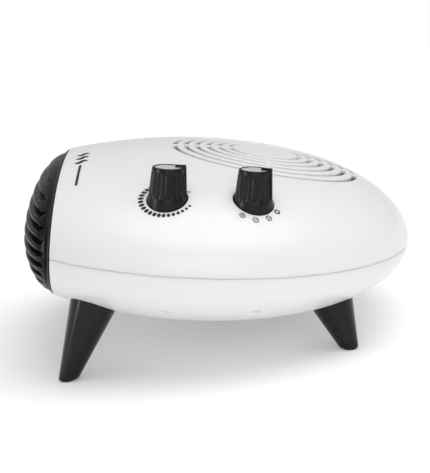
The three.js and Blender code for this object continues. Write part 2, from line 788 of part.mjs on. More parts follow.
addPart(pod, "element_frame", elementFrame(), materials.duct);
for (let pack = 0; pack < 4; pack += 1) {
  const z = ELEMENT_FIRST + pack * ELEMENT_LAYER;
  addPart(pod, "fin_pack_" + (pack + 1), finPack(z), materials.aluminium);
}
for (let bar = 0; bar < 3; bar += 1) {
  const z = ELEMENT_FIRST + bar * ELEMENT_LAYER + FIN_HEIGHT + GAP;
  addPart(pod, "ceramic_bar_" + (bar + 1), ceramicBar(z), materials.ceramic);
}

function overheatCutout() {
  const can = rod(...CUTOUT_AT, ELEMENT_TOP + GAP, ELEMENT_TOP + 6, CUTOUT_RADIUS, 20);
  return can.add(rod(...CUTOUT_AT, ELEMENT_TOP + 5, ELEMENT_TOP + 8, CUTOUT_TOP_RADIUS, 16));
}

function thermalFuse() {
  const geometry = new THREE.CylinderGeometry(FUSE_RADIUS, FUSE_RADIUS, FUSE_LENGTH, 12);
  geometry.rotateZ(Math.PI / 2);
  return solid(geometry.translate(...FUSE_AT, ELEMENT_TOP + GAP + FUSE_RADIUS));
}

function terminalBlock() {
  let block = box(...TERMINAL_X, ...TERMINAL_Y, ...TERMINAL_Z);
  for (const y of TERMINAL_HOLES) {
    const hole = rod((TERMINAL_X[0] + TERMINAL_X[1]) / 2, y, TERMINAL_Z[1] - 4, 0, 2, 10);
    block = block.subtract(hole);
  }
  return block;
}

addPart(pod, "overheat_cutout", overheatCutout(), materials.steel);
addPart(pod, "thermal_fuse", thermalFuse(), materials.brass);
addPart(pod, "terminal_block", terminalBlock(), materials.control);

export default heater;
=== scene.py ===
import json
import math

import bmesh
import bpy
import numpy as np
from mathutils import Matrix, Vector
from mathutils.geometry import delaunay_2d_cdt

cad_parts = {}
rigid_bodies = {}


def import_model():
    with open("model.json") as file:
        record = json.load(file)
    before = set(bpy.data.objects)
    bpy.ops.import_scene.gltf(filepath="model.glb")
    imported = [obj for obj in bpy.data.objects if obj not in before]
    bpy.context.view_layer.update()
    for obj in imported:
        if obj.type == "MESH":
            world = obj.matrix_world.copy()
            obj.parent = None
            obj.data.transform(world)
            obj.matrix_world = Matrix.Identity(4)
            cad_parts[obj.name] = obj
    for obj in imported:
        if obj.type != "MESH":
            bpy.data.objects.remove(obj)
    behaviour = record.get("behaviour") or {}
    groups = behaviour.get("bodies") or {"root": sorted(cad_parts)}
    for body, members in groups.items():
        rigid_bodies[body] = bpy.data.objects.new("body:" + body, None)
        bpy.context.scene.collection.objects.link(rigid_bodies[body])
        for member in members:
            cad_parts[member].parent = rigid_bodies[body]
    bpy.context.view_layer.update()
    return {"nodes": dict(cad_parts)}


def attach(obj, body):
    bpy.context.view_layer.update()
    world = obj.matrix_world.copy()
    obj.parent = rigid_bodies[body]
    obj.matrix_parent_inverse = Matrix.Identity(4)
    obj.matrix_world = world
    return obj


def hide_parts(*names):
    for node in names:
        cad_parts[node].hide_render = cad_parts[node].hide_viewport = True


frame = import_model()

# ---- Table top, light and camera ----
# A plain pale table under soft studio light: a broad glow from above, a box on the dial side and
# a narrow strip in front of the outlet. The camera stands on the dial side, a little above it.

mm = 0.001


def paint(name):
    made = bpy.data.materials.new(name)
    made.use_nodes = True
    nodes = made.node_tree.nodes
    return made, nodes, made.node_tree.links, nodes["Principled BSDF"]


def mesh_piece(name, verts, faces, material):
    mesh = bpy.data.meshes.new(name)
    mesh.from_pydata([tuple(v) for v in verts], [], [tuple(f) for f in faces])
    mesh.validate()
    mesh.polygons.foreach_set("use_smooth", [True] * len(mesh.polygons))
    mesh.materials.append(material)
    piece = bpy.data.objects.new(name, mesh)
    bpy.context.collection.objects.link(piece)
    return piece


table_paint, nodes, links, shader = paint("table_white")
speck = nodes.new("ShaderNodeTexNoise")
speck.inputs["Scale"].default_value = 900
table_tone = nodes.new("ShaderNodeMapRange")
table_tone.inputs["To Min"].default_value = 0.90
table_tone.inputs["To Max"].default_value = 0.93
links.new(speck.outputs["Fac"], table_tone.inputs["Value"])
links.new(table_tone.outputs["Result"], shader.inputs["Base Color"])
shader.inputs["Roughness"].default_value = 0.7
shader.inputs["Specular IOR Level"].default_value = 0.2
shader.inputs["Emission Color"].default_value = (1, 1, 1, 1)
shader.inputs["Emission Strength"].default_value = 0.14

table_rings = [0.0, 0.4, 1.2, 3.0, 9.0]
table_sides = 64
verts = [(0, 0, 0)]
for radius in table_rings[1:]:
    for side in range(table_sides):
        turn = 2 * math.pi * side / table_sides
        verts.append((radius * math.cos(turn), radius * math.sin(turn), 0))
faces = [(0, 1 + i, 1 + (i + 1) % table_sides) for i in range(table_sides)]
for ring in range(len(table_rings) - 2):
    base = 1 + ring * table_sides
    for i in range(table_sides):
        j = (i + 1) % table_sides
        faces.append((base + i, base + table_sides + i, base + table_sides + j, base + j))
table_top = mesh_piece("table_top", verts, faces, table_paint)

room = bpy.data.worlds.new("studio_room")
room.use_nodes = True
room.node_tree.nodes["Background"].inputs["Color"].default_value = (1.0, 1.0, 1.0, 1)
room.node_tree.nodes["Background"].inputs["Strength"].default_value = 0.42
bpy.context.scene.world = room
bpy.context.scene.view_settings.view_transform = "Standard"


def softbox(name, place, aim, width, height, power):
    lamp = bpy.data.lights.new(name, "AREA")
    lamp.shape = "RECTANGLE"
    lamp.size, lamp.size_y = width, height
    lamp.energy = power
    holder = bpy.data.objects.new(name, lamp)
    bpy.context.collection.objects.link(holder)
    holder.location = place
    holder.rotation_mode = "QUATERNION"
    holder.rotation_quaternion = (Vector(aim) - Vector(place)).to_track_quat("-Z", "Y")
    return holder


ceiling = bpy.data.lights.new("ceiling_light", "SUN")
ceiling.energy = 1.8
ceiling.angle = math.radians(60)
ceiling_holder = bpy.data.objects.new("ceiling_light", ceiling)
bpy.context.collection.objects.link(ceiling_holder)
ceiling_holder.rotation_mode = "QUATERNION"
ceiling_holder.rotation_quaternion = Vector((-0.08, -0.2, -1.0)).to_track_quat("-Z", "Y")
softbox("dial_side_box", (1.5, 0.1, 0.55), (0, 0, 0.05), 1.2, 0.7, 4.5)
outlet_side_strip = softbox("outlet_side_strip", (0.45, -1.3, 0.45), (0, -0.05, 0.06), 0.14, 0.9, 8)

camera_place = Vector((0.875, 0.004625, 0.260925))
camera_aim = Vector((0.0, -0.002198, 0.059977))
camera_lean = math.radians(-4.77)
camera = bpy.data.objects.new("camera", bpy.data.cameras.new("camera"))
bpy.context.collection.objects.link(camera)
camera.data.lens = 105.82
camera.data.clip_start = 0.05
camera.rotation_mode = "QUATERNION"
looking = (camera_aim - camera_place).to_track_quat("-Z", "Y").to_matrix().to_4x4()
camera.location = camera_place
camera.rotation_quaternion = (looking @ Matrix.Rotation(camera_lean, 4, "Z")).to_quaternion()
bpy.context.scene.camera = camera

# ---- White pod shells ----
# Two injection-moulded ABS halves, smooth and softly glossy, that meet in a fine seam round the
# middle. The upper one has the ring slots of the air intake and two openings for the dials; the
# lower one has four screw wells and the hole for the cord gland.

pod_radius, pod_rise, pod_drop = 134 * mm, 53 * mm, 47.5 * mm
pod_fullness = 2.3
shell_wall, shell_edge_bend = 2.5 * mm, 0.2 * mm
seam_half = 0.15 * mm
down = np.array([0, 0, -1.0])
front_cut = -85 * mm
nose_up = math.radians(7)
pod_frame = Matrix.Translation((0, -12.4 * mm, 67.7 * mm)) @ Matrix.Rotation(-nose_up, 4, "X")
pod_turn = np.array(pod_frame)[:3, :3]
pod_place = np.array(pod_frame)[:3, 3]
fan_y = 40.5 * mm
ring_outer, ring_pitch, ring_slot, ring_bridge = 57.5 * mm, 7.06 * mm, 3 * mm, 2.6 * mm
ring_count, ring_slot_bend = 6, 0.6 * mm
dial_places = {"thermostat": (97.3 * mm, -19 * mm), "selector": (94.8 * mm, 30.3 * mm)}
dial_hole, dial_hole_bend = 11.95 * mm, 0.45 * mm
mouth_flare, flare_from = 0.04, -45 * mm
well_places = [(sx * 112 * mm, y * mm) for sx in (-1, 1) for y in (-19, 33)]


def in_room(points):
    return np.asarray(points) @ pod_turn.T + pod_place


def unit(vectors):
    vectors = np.asarray(vectors, float)
    return vectors / np.maximum(np.linalg.norm(vectors, axis=-1, keepdims=True), 1e-12)


def flare(y):
    """The pod stands a little taller towards its mouth."""
    return 1 + mouth_flare * np.clip((flare_from - y) / (flare_from - front_cut), 0, 1.1) ** 2


def pod_height(x, y, rise=pod_rise, inset=0.0):
    share = np.hypot(x, y) / (pod_radius - inset)
    return (rise - inset) * np.sqrt(np.maximum(1 - share**pod_fullness, 0)) * flare(y)


# A skin is a bulging sheet. Its points are spread evenly over a round flat chart of it, and then
# lifted to the sheet. Its openings are loops on the chart, and rings of points line their edges.


def skin_triangles(outline, openings, fill):
    """Joins chart points into triangles inside the outline and clear of the openings."""
    loops = [outline] + openings
    points = np.vstack(loops + [fill])
    rounds, start = [], 0
    for loop in loops:
        rounds.append(list(range(start, start + len(loop))))
        start += len(loop)
    joined = delaunay_2d_cdt([Vector(p) for p in points], [], rounds, 0, 1e-9)
    _, _, triangles, sources, _, owners = joined
    kept = [[sources[i][0] for i in t] for t, o in zip(triangles, owners) if o == [0]]
    return points, rounds, kept


def edge_bend(start, reach, sink, steps=3):
    """Rings that round an edge over: they reach out to the edge while they sink below the sheet."""
    turns = [0.5 * math.pi * step / steps for step in range(1, steps + 1)]
    return [start + reach * math.sin(turn) + sink * (1 - math.cos(turn)) for turn in turns]


def closed_skin(outer, inner, triangles, rounds, walls):
    """Joins the outer and inner sheets with the rings of points round each edge."""
    verts = [*outer, *inner]
    faces = [tuple(t) for t in triangles]
    shift = len(outer)
    faces += [tuple(shift + i for i in reversed(t)) for t in triangles]
    for loop, rings in zip(rounds, walls):
        rows = [list(loop)]
        for ring in rings:
            rows.append(list(range(len(verts), len(verts) + len(ring))))
            verts.extend(ring)
        rows.append([shift + i for i in loop])
        for near, far in zip(rows, rows[1:]):
            for i in range(len(near)):
                j = (i + 1) % len(near)
                faces.append((near[i], far[i], far[j], near[j]))
    return verts, faces


def tidy_mesh(piece):
    """Drops points that no face uses, turns every face outwards, and keeps true corners crisp."""
    form = bmesh.new()
    form.from_mesh(piece.data)
    loose = [v for v in form.verts if not v.link_faces]
    bmesh.ops.delete(form, geom=loose, context="VERTS")
    bmesh.ops.recalc_face_normals(form, faces=form.faces)
    form.to_mesh(piece.data)
    form.free()
    piece.data.set_sharp_from_angle(angle=math.radians(42))
    return piece


def to_chart(x, y):
    share = np.clip(np.hypot(x, y) / pod_radius, 0, 1)
    climb = np.arccos(np.clip(share ** (pod_fullness / 2), 0, 1))
    spread = 1 - climb / (math.pi / 2)
    turn = np.arctan2(y, x)
    return np.stack([spread * np.cos(turn), spread * np.sin(turn)], axis=-1)


def from_chart(chart, rise):
    spread = np.linalg.norm(chart, axis=1)
    climb = (1 - np.clip(spread, 0, 1)) * math.pi / 2
    radius = pod_radius * np.cos(climb) ** (2 / pod_fullness)
    turn = np.arctan2(chart[:, 1], chart[:, 0])
    y = radius * np.sin(turn)
    return np.stack([radius * np.cos(turn), y, rise * np.sin(climb) * flare(y)], axis=-1)


def pod_normal(points, rise):
    """Outward normal of the pod's surface at points of the upper or lower half."""
    around = np.hypot(points[:, 0], points[:, 1])
    slope = pod_fullness * np.maximum(around, 1e-9) ** (pod_fullness - 2) / pod_radius**pod_fullness
    return unit(np.stack([slope * points[:, 0], slope * points[:, 1], 2 * points[:, 2] / rise**2], axis=-1))


def shell_outline(bend):
    """The half's edge: along the front cut, then round the seam. Points in plan, and what they edge."""
    low = (seam_half + bend) / pod_rise
    seam_radius = pod_radius * (1 - low**2) ** (1 / pod_fullness)
    cut = front_cut + bend
    corner = math.acos(cut / seam_radius)
    turns = np.linspace(corner, -corner, 300)
    rim = [(seam_radius * math.sin(turn), seam_radius * math.cos(turn)) for turn in turns]
    half = seam_radius * math.sin(corner)
    share = np.sin(np.linspace(-math.pi / 2, math.pi / 2, 160))[1:-1]
    front = [(half * s, cut) for s in share]
    return np.array(rim + front), len(rim)


def ring_spots(rings, count_at):
    """Chart points on even rings, each ring's set between those of the one before it."""
    spots = []
    for ring in range(1, rings):
        spread = ring / rings
        count = count_at(spread)
        for i in range(count):
            turn = 2 * math.pi * (i + 0.5 * (ring % 2)) / count
            spots.append((spread * math.cos(turn), spread * math.sin(turn)))
    return np.array(spots)


def spots_round_pod(spread):
    """How many points a ring needs, so that they stand about 2.6 mm apart on the shell."""
    radius = pod_radius * math.sin(spread * math.pi / 2) ** (2 / pod_fullness)
    return max(6, int(2 * math.pi * radius / (2.6 * mm)))


def keep_clear(spots, loops, distance):
    edge = np.vstack(loops)
    kept = [p for p in spots if np.min(np.hypot(edge[:, 0] - p[0], edge[:, 1] - p[1])) > distance]
    return np.array(kept)


def round_loop(x, y, radius, count):
    turn = np.linspace(0, 2 * math.pi, count, endpoint=False)
    return np.stack([x + radius * np.cos(turn), y + radius * np.sin(turn)], axis=-1)


def slot_loop(radius, quarter, bend):
    """One ring slot between two bridges, grown by the bend of its edges."""
    half = ring_slot / 2 + bend
    bridge = ring_bridge / 2 - bend
    loop = []
    for edge, forward in ((radius + half, True), (radius - half, False)):
        side = math.asin(bridge / edge)
        turns = np.linspace(side, math.pi / 2 - side, max(8, int(edge / (1.3 * mm))))
        turns = turns if forward else turns[::-1]
        loop += [(edge * math.cos(t + quarter), fan_y + edge * math.sin(t + quarter)) for t in turns]
    return np.array(loop)


def into_opening(loop):
    """In plan, the direction from the sheet into the opening at each point of its loop."""
    ahead = np.roll(loop, -1, axis=0) - loop
    behind = loop - np.roll(loop, 1, axis=0)
    turned = unit(np.stack([-ahead[:, 1], ahead[:, 0]], axis=-1))
    turned += unit(np.stack([-behind[:, 1], behind[:, 0]], axis=-1))
    signed = np.sum(loop[:, 0] * np.roll(loop[:, 1], -1) - loop[:, 1] * np.roll(loop[:, 0], -1))
    inward = unit(turned) * (1 if signed > 0 else -1)
    corner = np.clip(np.sum(unit(ahead) * unit(behind), axis=1), -1, 1)
    return inward * np.sqrt(2 / (1 + np.maximum(corner, -0.2)))[:, None]


def shell_half(sign, rise, openings):
    """openings: (loop in plan, its bend, function that adds more rings before the inner sheet)."""
    outline, seam_count = shell_outline(shell_edge_bend)
    edge_loop = to_chart(*outline.T)
    loops = [to_chart(*loop.T) for loop, _, _ in openings]
    spots = np.vstack([ring_spots(54, spots_round_pod), [(0.0, 0.0)]])
    spots = keep_clear(spots, [edge_loop] + loops, 0.009)
    chart, rounds, triangles = skin_triangles(edge_loop, loops, spots)
    outer = from_chart(chart, rise)
    normal = pod_normal(outer, rise)
    # Level parts are thickened straight down and steep parts square to the surface.
    levelness = np.clip((normal[:, 2:3] - 0.35) / 0.2, 0, 1)
    below = outer + down * shell_wall / np.maximum(normal[:, 2:3], 0.3)
    inner = levelness * below + (1 - levelness) * (outer - normal * shell_wall)
    edge = outer[rounds[0]]
    edge_normal = normal[rounds[0]]
    at_seam = np.arange(len(edge)) < seam_count
    towards = np.where(at_seam[:, None], down, [0, -1.0, 0])
    flat = np.where(at_seam[:, None], [1.0, 1.0, 0], [1.0, 0, 1.0])
    inwards = -unit(edge_normal * flat)
    for corner in (0, seam_count - 1):
        towards[corner] = [0, -1, -1]
    rings = edge_bend(edge, towards * shell_edge_bend, inwards * shell_edge_bend)
    walls = [rings + [edge + towards * shell_edge_bend + inwards * shell_wall]]
    for (loop, bend, more), around in zip(openings, rounds[1:]):
        ahead = np.hstack([into_opening(loop), np.zeros((len(loop), 1))])
        slope = normal[around]
        ahead[:, 2] = -np.sum(ahead * slope, axis=1) / np.maximum(slope[:, 2], 0.2)
        rings = edge_bend(outer[around], ahead * bend, down * bend)
        walls.append(rings + more(outer[around] + ahead * bend, loop))
    verts, faces = closed_skin(outer, inner, triangles, rounds, walls)
    verts = np.array(verts)
    verts[:, 2] *= sign
    return verts, faces


def true_shading(piece, rise):
    """Takes the shading of the outer sheet from the pod's own form, so no facet shows."""
    count = len(piece.data.vertices)
    points = np.empty(count * 3)
    piece.data.vertices.foreach_get("co", points)
    local = (points.reshape(-1, 3) - pod_place) @ pod_turn

    def form(p):
        around = np.hypot(p[:, 0], p[:, 1]) / pod_radius
        return around**pod_fullness + (p[:, 2] / rise / flare(p[:, 1])) ** 2

    steps = np.eye(3) * 0.05 * mm
    slope = np.stack([form(local + step) - form(local - step) for step in steps], axis=-1)
    normals = unit(slope) @ pod_turn.T
    normals[np.abs(form(local) - 1) > 2e-5] = 0
    piece.data.normals_split_custom_set_from_vertices([tuple(n) for n in normals])


def plain_wall(rim, loop):
    return [rim + down * shell_wall * 1.1]


def rib_wall(rim, loop):
    """The slot's edges go on down as ribs, which stiffen the rings and hide the fan."""
    away = np.hstack([-into_opening(loop), np.zeros((len(loop), 1))]) * 1.3 * mm
    deep = rim + down * 6 * mm
    root = rim + away
    root[:, 2] = pod_height(root[:, 0], root[:, 1])
    root[:, 2] -= shell_wall / pod_normal(root, pod_rise)[:, 2] + 0.1 * mm
    return [deep, deep + away, root]


def well_wall(rim, loop):
    """A screw well: straight up to its seat, in to the screw's hole, and back down outside."""
    centre = loop.mean(axis=0)
    arm = unit(rim[:, :2] - centre)
    rows = []
    for radius, height in ((3.6, 15.0), (1.9, 15.0), (1.9, 0.3), (4.6, 0.3), (4.6, 12.0)):
        plan = centre + arm * radius * mm
        rows.append(np.hstack([plan, np.full((len(plan), 1), height * mm)]))
    return rows


def group_of(name, inputs, outputs):
    """An empty shader group with its named sockets."""
    tree = bpy.data.node_groups.new(name, "ShaderNodeTree")
    for label, kind, value in inputs:
        socket = tree.interface.new_socket(name=label, in_out="INPUT", socket_type=kind)
        socket.default_value = value
    for label, kind in outputs:
        tree.interface.new_socket(name=label, in_out="OUTPUT", socket_type=kind)
    return tree, tree.nodes.new("NodeGroupInput"), tree.nodes.new("NodeGroupOutput")


def feed(tree, socket, value):
    """Sets a socket to a number, or joins it to another node's output."""
    if isinstance(value, (int, float)):
        socket.default_value = value
    else:
        tree.links.new(value, socket)


def ranged(tree, source, low, high, span=(0.3, 0.7)):
    """Spreads what lies within the span from low to high."""
    node = tree.nodes.new("ShaderNodeMapRange")
    tree.links.new(source, node.inputs["Value"])
    node.inputs["From Min"].default_value, node.inputs["From Max"].default_value = span
    feed(tree, node.inputs["To Min"], low)
    feed(tree, node.inputs["To Max"], high)
    return node.outputs["Result"]


def math_node(tree, operation, *values):
    node = tree.nodes.new("ShaderNodeMath")
    node.operation = operation
    for socket, value in zip(node.inputs, values):
        feed(tree, socket, value)
    return node.outputs["Value"]


def noise_at(tree, place, scale, detail):
    node = tree.nodes.new("ShaderNodeTexNoise")
    node.inputs["Detail"].default_value = detail
    tree.links.new(place, node.inputs["Vector"])
    feed(tree, node.inputs["Scale"], scale)
    return node.outputs["Fac"]


def blended(tree, kind, share, under, over):
    """One colour laid over another by the share given, mixed or multiplied."""
    node = tree.nodes.new("ShaderNodeMix")
    node.data_type, node.blend_type = "RGBA", kind
    feed(tree, node.inputs["Factor"], share)
    tree.links.new(under, node.inputs["A"])
    if isinstance(over, tuple):
        node.inputs["B"].default_value = over
    else:
        tree.links.new(over, node.inputs["B"])
    return node.outputs["Result"]


def raised(tree, height, strength, distance):
    node = tree.nodes.new("ShaderNodeBump")
    node.inputs["Distance"].default_value = distance
    tree.links.new(strength, node.inputs["Strength"])
    tree.links.new(height, node.inputs["Height"])
    return node.outputs["Normal"]


def skinned(name, skin_tree, values):
    """A material whose colour, gloss and relief come from a shared skin with its own values."""
    made, nodes, links, shader = paint(name)
    skin = nodes.new("ShaderNodeGroup")
    skin.node_tree = skin_tree
    for label, value in values.items():
        skin.inputs[label].default_value = value
    links.new(skin.outputs["Colour"], shader.inputs["Base Color"])
    links.new(skin.outputs["Roughness"], shader.inputs["Roughness"])
    links.new(skin.outputs["Normal"], shader.inputs["Normal"])
    return made, shader


# The skin of a moulding: faint flow marks in its tone, uneven gloss, a fine tool grain, and a
# little patchy dust on what faces up.
moulded_skin, taken, given = group_of(
    "moulded_skin",
    [("Colour", "NodeSocketColor", (0.8, 0.8, 0.8, 1)), ("Flow Marks", "NodeSocketFloat", 0.02),
     ("Gloss", "NodeSocketFloat", 0.3), ("Gloss Spread", "NodeSocketFloat", 0.05),
     ("Grain Scale", "NodeSocketFloat", 2500.0), ("Grain Depth", "NodeSocketFloat", 0.1),
     ("Dust", "NodeSocketFloat", 0.0)],
    [("Colour", "NodeSocketColor"), ("Roughness", "NodeSocketFloat"), ("Normal", "NodeSocketVector")],
)
place = moulded_skin.nodes.new("ShaderNodeTexCoord").outputs["Object"]
flow = noise_at(moulded_skin, place, 22.0, 3.0)
streaks = noise_at(moulded_skin, place, 75.0, 2.0)
grain = noise_at(moulded_skin, place, taken.outputs["Grain Scale"], 1.0)
darker = math_node(moulded_skin, "SUBTRACT", 1.0, taken.outputs["Flow Marks"])
tone = ranged(moulded_skin, flow, darker, 1.0)
toned = blended(moulded_skin, "MULTIPLY", 1.0, taken.outputs["Colour"], tone)
facing = moulded_skin.nodes.new("ShaderNodeSeparateXYZ")
square_to = moulded_skin.nodes.new("ShaderNodeNewGeometry").outputs["Normal"]
moulded_skin.links.new(square_to, facing.inputs["Vector"])
upward = ranged(moulded_skin, facing.outputs["Z"], 0.0, 1.0, (0.4, 1.0))
patches = ranged(moulded_skin, noise_at(moulded_skin, place, 420.0, 4.0), 0.0, 1.0, (0.48, 0.72))
settled = math_node(moulded_skin, "MULTIPLY", upward, patches)
dust = math_node(moulded_skin, "MULTIPLY", settled, taken.outputs["Dust"])
dust_grey = (0.42, 0.41, 0.39, 1)
low_gloss = math_node(moulded_skin, "SUBTRACT", taken.outputs["Gloss"], taken.outputs["Gloss Spread"])
high_gloss = math_node(moulded_skin, "ADD", taken.outputs["Gloss"], taken.outputs["Gloss Spread"])
gloss = math_node(moulded_skin, "ADD", ranged(moulded_skin, streaks, low_gloss, high_gloss), dust)
relief = raised(moulded_skin, grain, taken.outputs["Grain Depth"], 0.02 * mm)
moulded_skin.links.new(blended(moulded_skin, "MIX", dust, toned, dust_grey), given.inputs["Colour"])
moulded_skin.links.new(gloss, given.inputs["Roughness"])
moulded_skin.links.new(relief, given.inputs["Normal"])


def moulded(name, colour, gloss, spread, grain, flow_marks, dust=0.0, level=0.5):
    """Moulded plastic: grain is its scale and depth, and level how strongly it mirrors."""
    made, shader = skinned(name, moulded_skin, {
        "Colour": (*colour, 1), "Flow Marks": flow_marks, "Gloss": gloss, "Gloss Spread": spread,
        "Grain Scale": grain[0], "Grain Depth": grain[1], "Dust": dust,
    })
    shader.inputs["Specular IOR Level"].default_value = level
    return made


shell_white = moulded("shell_white", (0.83, 0.83, 0.838), 0.30, 0.02, (260, 0.03), flow_marks=0.01)
shell_shader = shell_white.node_tree.nodes["Principled BSDF"]
shell_shader.inputs["Subsurface Weight"].default_value = 0.6
shell_shader.inputs["Subsurface Radius"].default_value = (1.0, 1.0, 1.0)
shell_shader.inputs["Subsurface Scale"].default_value = 3.5 * mm

ring_slots = []
for ring in range(ring_count):
    for quarter in range(4):
        loop = slot_loop(ring_outer - ring * ring_pitch, quarter * math.pi / 2, ring_slot_bend)
        ring_slots.append((loop, ring_slot_bend, rib_wall))
dial_openings = [
    (round_loop(x, y, dial_hole + dial_hole_bend, 96), dial_hole_bend, plain_wall)
    for x, y in dial_places.values()
]
verts, faces = shell_half(1, pod_rise, ring_slots + dial_openings)
upper = tidy_mesh(mesh_piece("upper_shell_moulding", in_room(verts), faces, shell_white))
true_shading(upper, pod_rise)
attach(upper, "heater")
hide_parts("upper_shell")

inlet_at, inlet_slope, inlet_turn = np.array([0, 131.4, -10.0]), math.radians(27), math.radians(20)


def inlet_ring(radius, along, count=64):
    """A ring round the cord inlet's axis, which leans down and is turned away from the dials."""
    turns = np.linspace(0, 2 * math.pi, count, endpoint=False)
    outwards = np.array([0, math.cos(inlet_slope), -math.sin(inlet_slope)])
    upwards = np.array([0, math.sin(inlet_slope), math.cos(inlet_slope)])
    ring = inlet_at + outwards * along + np.outer(np.cos(turns), [radius, 0, 0])
    ring = ring + np.outer(np.sin(turns), upwards) * radius
    c, s = math.cos(inlet_turn), math.sin(inlet_turn)
    return ring @ np.array([[c, s, 0], [-s, c, 0], [0, 0, 1]]) * mm


def inlet_wall(rim, loop):
    inwards = inlet_ring(1, -2.5, 4).mean(axis=0) - inlet_ring(1, 0, 4).mean(axis=0)
    return [rim + inwards * [1, 1, -1]]


inlet_hole = inlet_ring(5.6, 0)
inlet_reach = pod_radius * (1 - (inlet_hole[:, 2] / pod_drop) ** 2) ** (1 / pod_fullness)
inlet_loop = unit(inlet_hole[:, :2]) * inlet_reach[:, None]
belly_openings = [(round_loop(x, y, 4.6 * mm, 40), 1.0 * mm, well_wall) for x, y in well_places]
belly_openings.append((inlet_loop, 0.02 * mm, inlet_wall))
verts, faces = shell_half(-1, pod_drop, belly_openings)
lower = tidy_mesh(mesh_piece("lower_shell_moulding", in_room(verts), faces, shell_white))
true_shading(lower, pod_drop)
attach(lower, "heater")
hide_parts("lower_shell")

# The lower half's tongue stands inside the seam all round and closes it to the light. Its section
# is given as millimetres behind the seam line and above it.
tongue_end = 2.2
tongue_turns = np.linspace(tongue_end, -tongue_end, 240)
tongue_section = [(-0.28, -0.9), (-0.28, 0.9), (-2.0, 0.9), (-2.0, -0.9)]
verts, faces = [], []
for turn in tongue_turns:
    for back, height in tongue_section:
        radius = pod_radius + back * mm
        verts.append((radius * math.sin(turn), radius * math.cos(turn), height * mm))
for i in range(len(tongue_turns) - 1):
    for k in range(4):
        near, far = i * 4, (i + 1) * 4
        faces.append((near + k, near + (k + 1) % 4, far + (k + 1) % 4, far + k))
last = (len(tongue_turns) - 1) * 4
faces += [(3, 2, 1, 0), (last, last + 1, last + 2, last + 3)]
tongue = tidy_mesh(mesh_piece("seam_tongue", in_room(verts), faces, shell_white))
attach(tongue, "heater")

# ---- Outlet bezel ----
# A black moulded ring round the front opening. Its flange stands against the shell's cut edge with
# a narrow gap, and its sleeve slides inside the shell and clips there.

bezel_black = moulded("bezel_black", (0.011, 0.011, 0.012), 0.38, 0.04, (900, 0.04), 0.15, 0.02, 0.2)


def pod_section(inset, y, turns):
    """The pod's outline in the plane y, from the right-hand end anticlockwise seen from the front."""
    reach = math.sqrt((pod_radius - inset) ** 2 - y**2)
    x = reach * np.cos(turns)
    above = np.sin(turns) >= 0
    height = pod_height(x, y, np.where(above, pod_rise, pod_drop), inset)
    return np.stack([x, np.full_like(x, y), np.where(above, height, -height)], axis=-1)


def ring_of_rows(rows):
    """A closed ring whose rows of points go round the opening, one after another round its section."""
    count = len(rows[0])
    verts = np.vstack(rows)
    faces = []
    for r in range(len(rows)):
        near, far = r * count, ((r + 1) % len(rows)) * count
        for i in range(count):
            j = (i + 1) % count
            faces.append((near + i, near + j, far + j, far + i))
    return verts, faces


bezel_turns = np.linspace(0, 2 * math.pi, 320, endpoint=False)
# The section runs over the flange's rounded face, then back along the sleeve: how far inside the
# pod's skin each point lies, and its place front to back, in millimetres.
bezel_section = [
    (0.9, -85.35), (0.55, -85.6), (0.4, -86.0), (0.42, -86.6), (0.65, -87.05), (1.1, -87.3), (2.6, -87.3),
    (4.2, -87.3), (4.65, -87.15), (4.8, -86.8), (4.8, -80.0), (4.8, -74.2), (4.6, -74.0), (3.0, -74.0),
    (2.8, -74.2), (2.8, -80.0), (2.8, -85.1), (2.9, -85.3),
]
rows = [pod_section(inset * mm, y * mm, bezel_turns) for inset, y in bezel_section]
verts, faces = ring_of_rows(rows)
bezel = tidy_mesh(mesh_piece("outlet_bezel_ring", in_room(verts), faces, bezel_black))
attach(bezel, "heater")
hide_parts("outlet_bezel")

# ---- Outlet grille ----
# One black moulding, domed forward, with rounded level slats all the way across. The slats are
# full and soft at the front, and a narrow plain border carries them on the bezel.

grille_black = moulded("grille_black", (0.005, 0.005, 0.006), 0.3, 0.04, (900, 0.03), 0.2, 0.01, 0.12)
dome_half, dome_rise, dome_drop, dome_depth = 101.5 * mm, 41.8 * mm, 38.0 * mm, 23.2 * mm
dome_back, dome_foot, dome_wall = -85.3 * mm, -87.6 * mm, 2.4 * mm
slat_pitch, slat_slot, slat_slots = 6.5 * mm, 3.1 * mm, 11
slat_middle = (dome_rise - dome_drop) / 2
slat_depth, slat_bend, slat_back = 5.2 * mm, 1.5 * mm, 0.8 * mm


def dome_fullness(turn):
    """The dome is full above and at its sides, and leaner towards the bottom."""
    return 2.2 - 0.75 * np.minimum(np.sin(turn), 0) ** 2


def dome_polar(x, z):
    level = z / np.where(z > 0, dome_rise, dome_drop)
    return np.clip(np.hypot(x / dome_half, level), 0, 1), np.arctan2(level, x / dome_half)


def dome_face(x, z):
    """How far forward the dome stands. It leans back a little above and more below."""
    share, turn = dome_polar(x, z)
    lean = np.where(z > 0, 0.15, 0.38) * (np.sin(turn) * share) ** 2 * (1 - share**2)
    return dome_back - dome_depth * np.sqrt(np.maximum(1 - share ** dome_fullness(turn), 0)) * (1 - lean)


def dome_chart(x, z):
    share, turn = dome_polar(x, z)
    spread = 1 - np.arccos(share ** (dome_fullness(turn) / 2)) / (math.pi / 2)
    return np.stack([spread * np.cos(turn), spread * np.sin(turn)], axis=-1)


def dome_points(chart):
    spread = np.linalg.norm(chart, axis=1)
    turn = np.arctan2(chart[:, 1], chart[:, 0])
    share = np.sin(np.clip(spread, 0, 1) * math.pi / 2) ** (2 / dome_fullness(turn))
    x = share * np.cos(turn) * dome_half
    z = share * np.sin(turn)
    z = z * np.where(z > 0, dome_rise, dome_drop)
    return np.stack([x, dome_face(x, z), z], axis=-1)


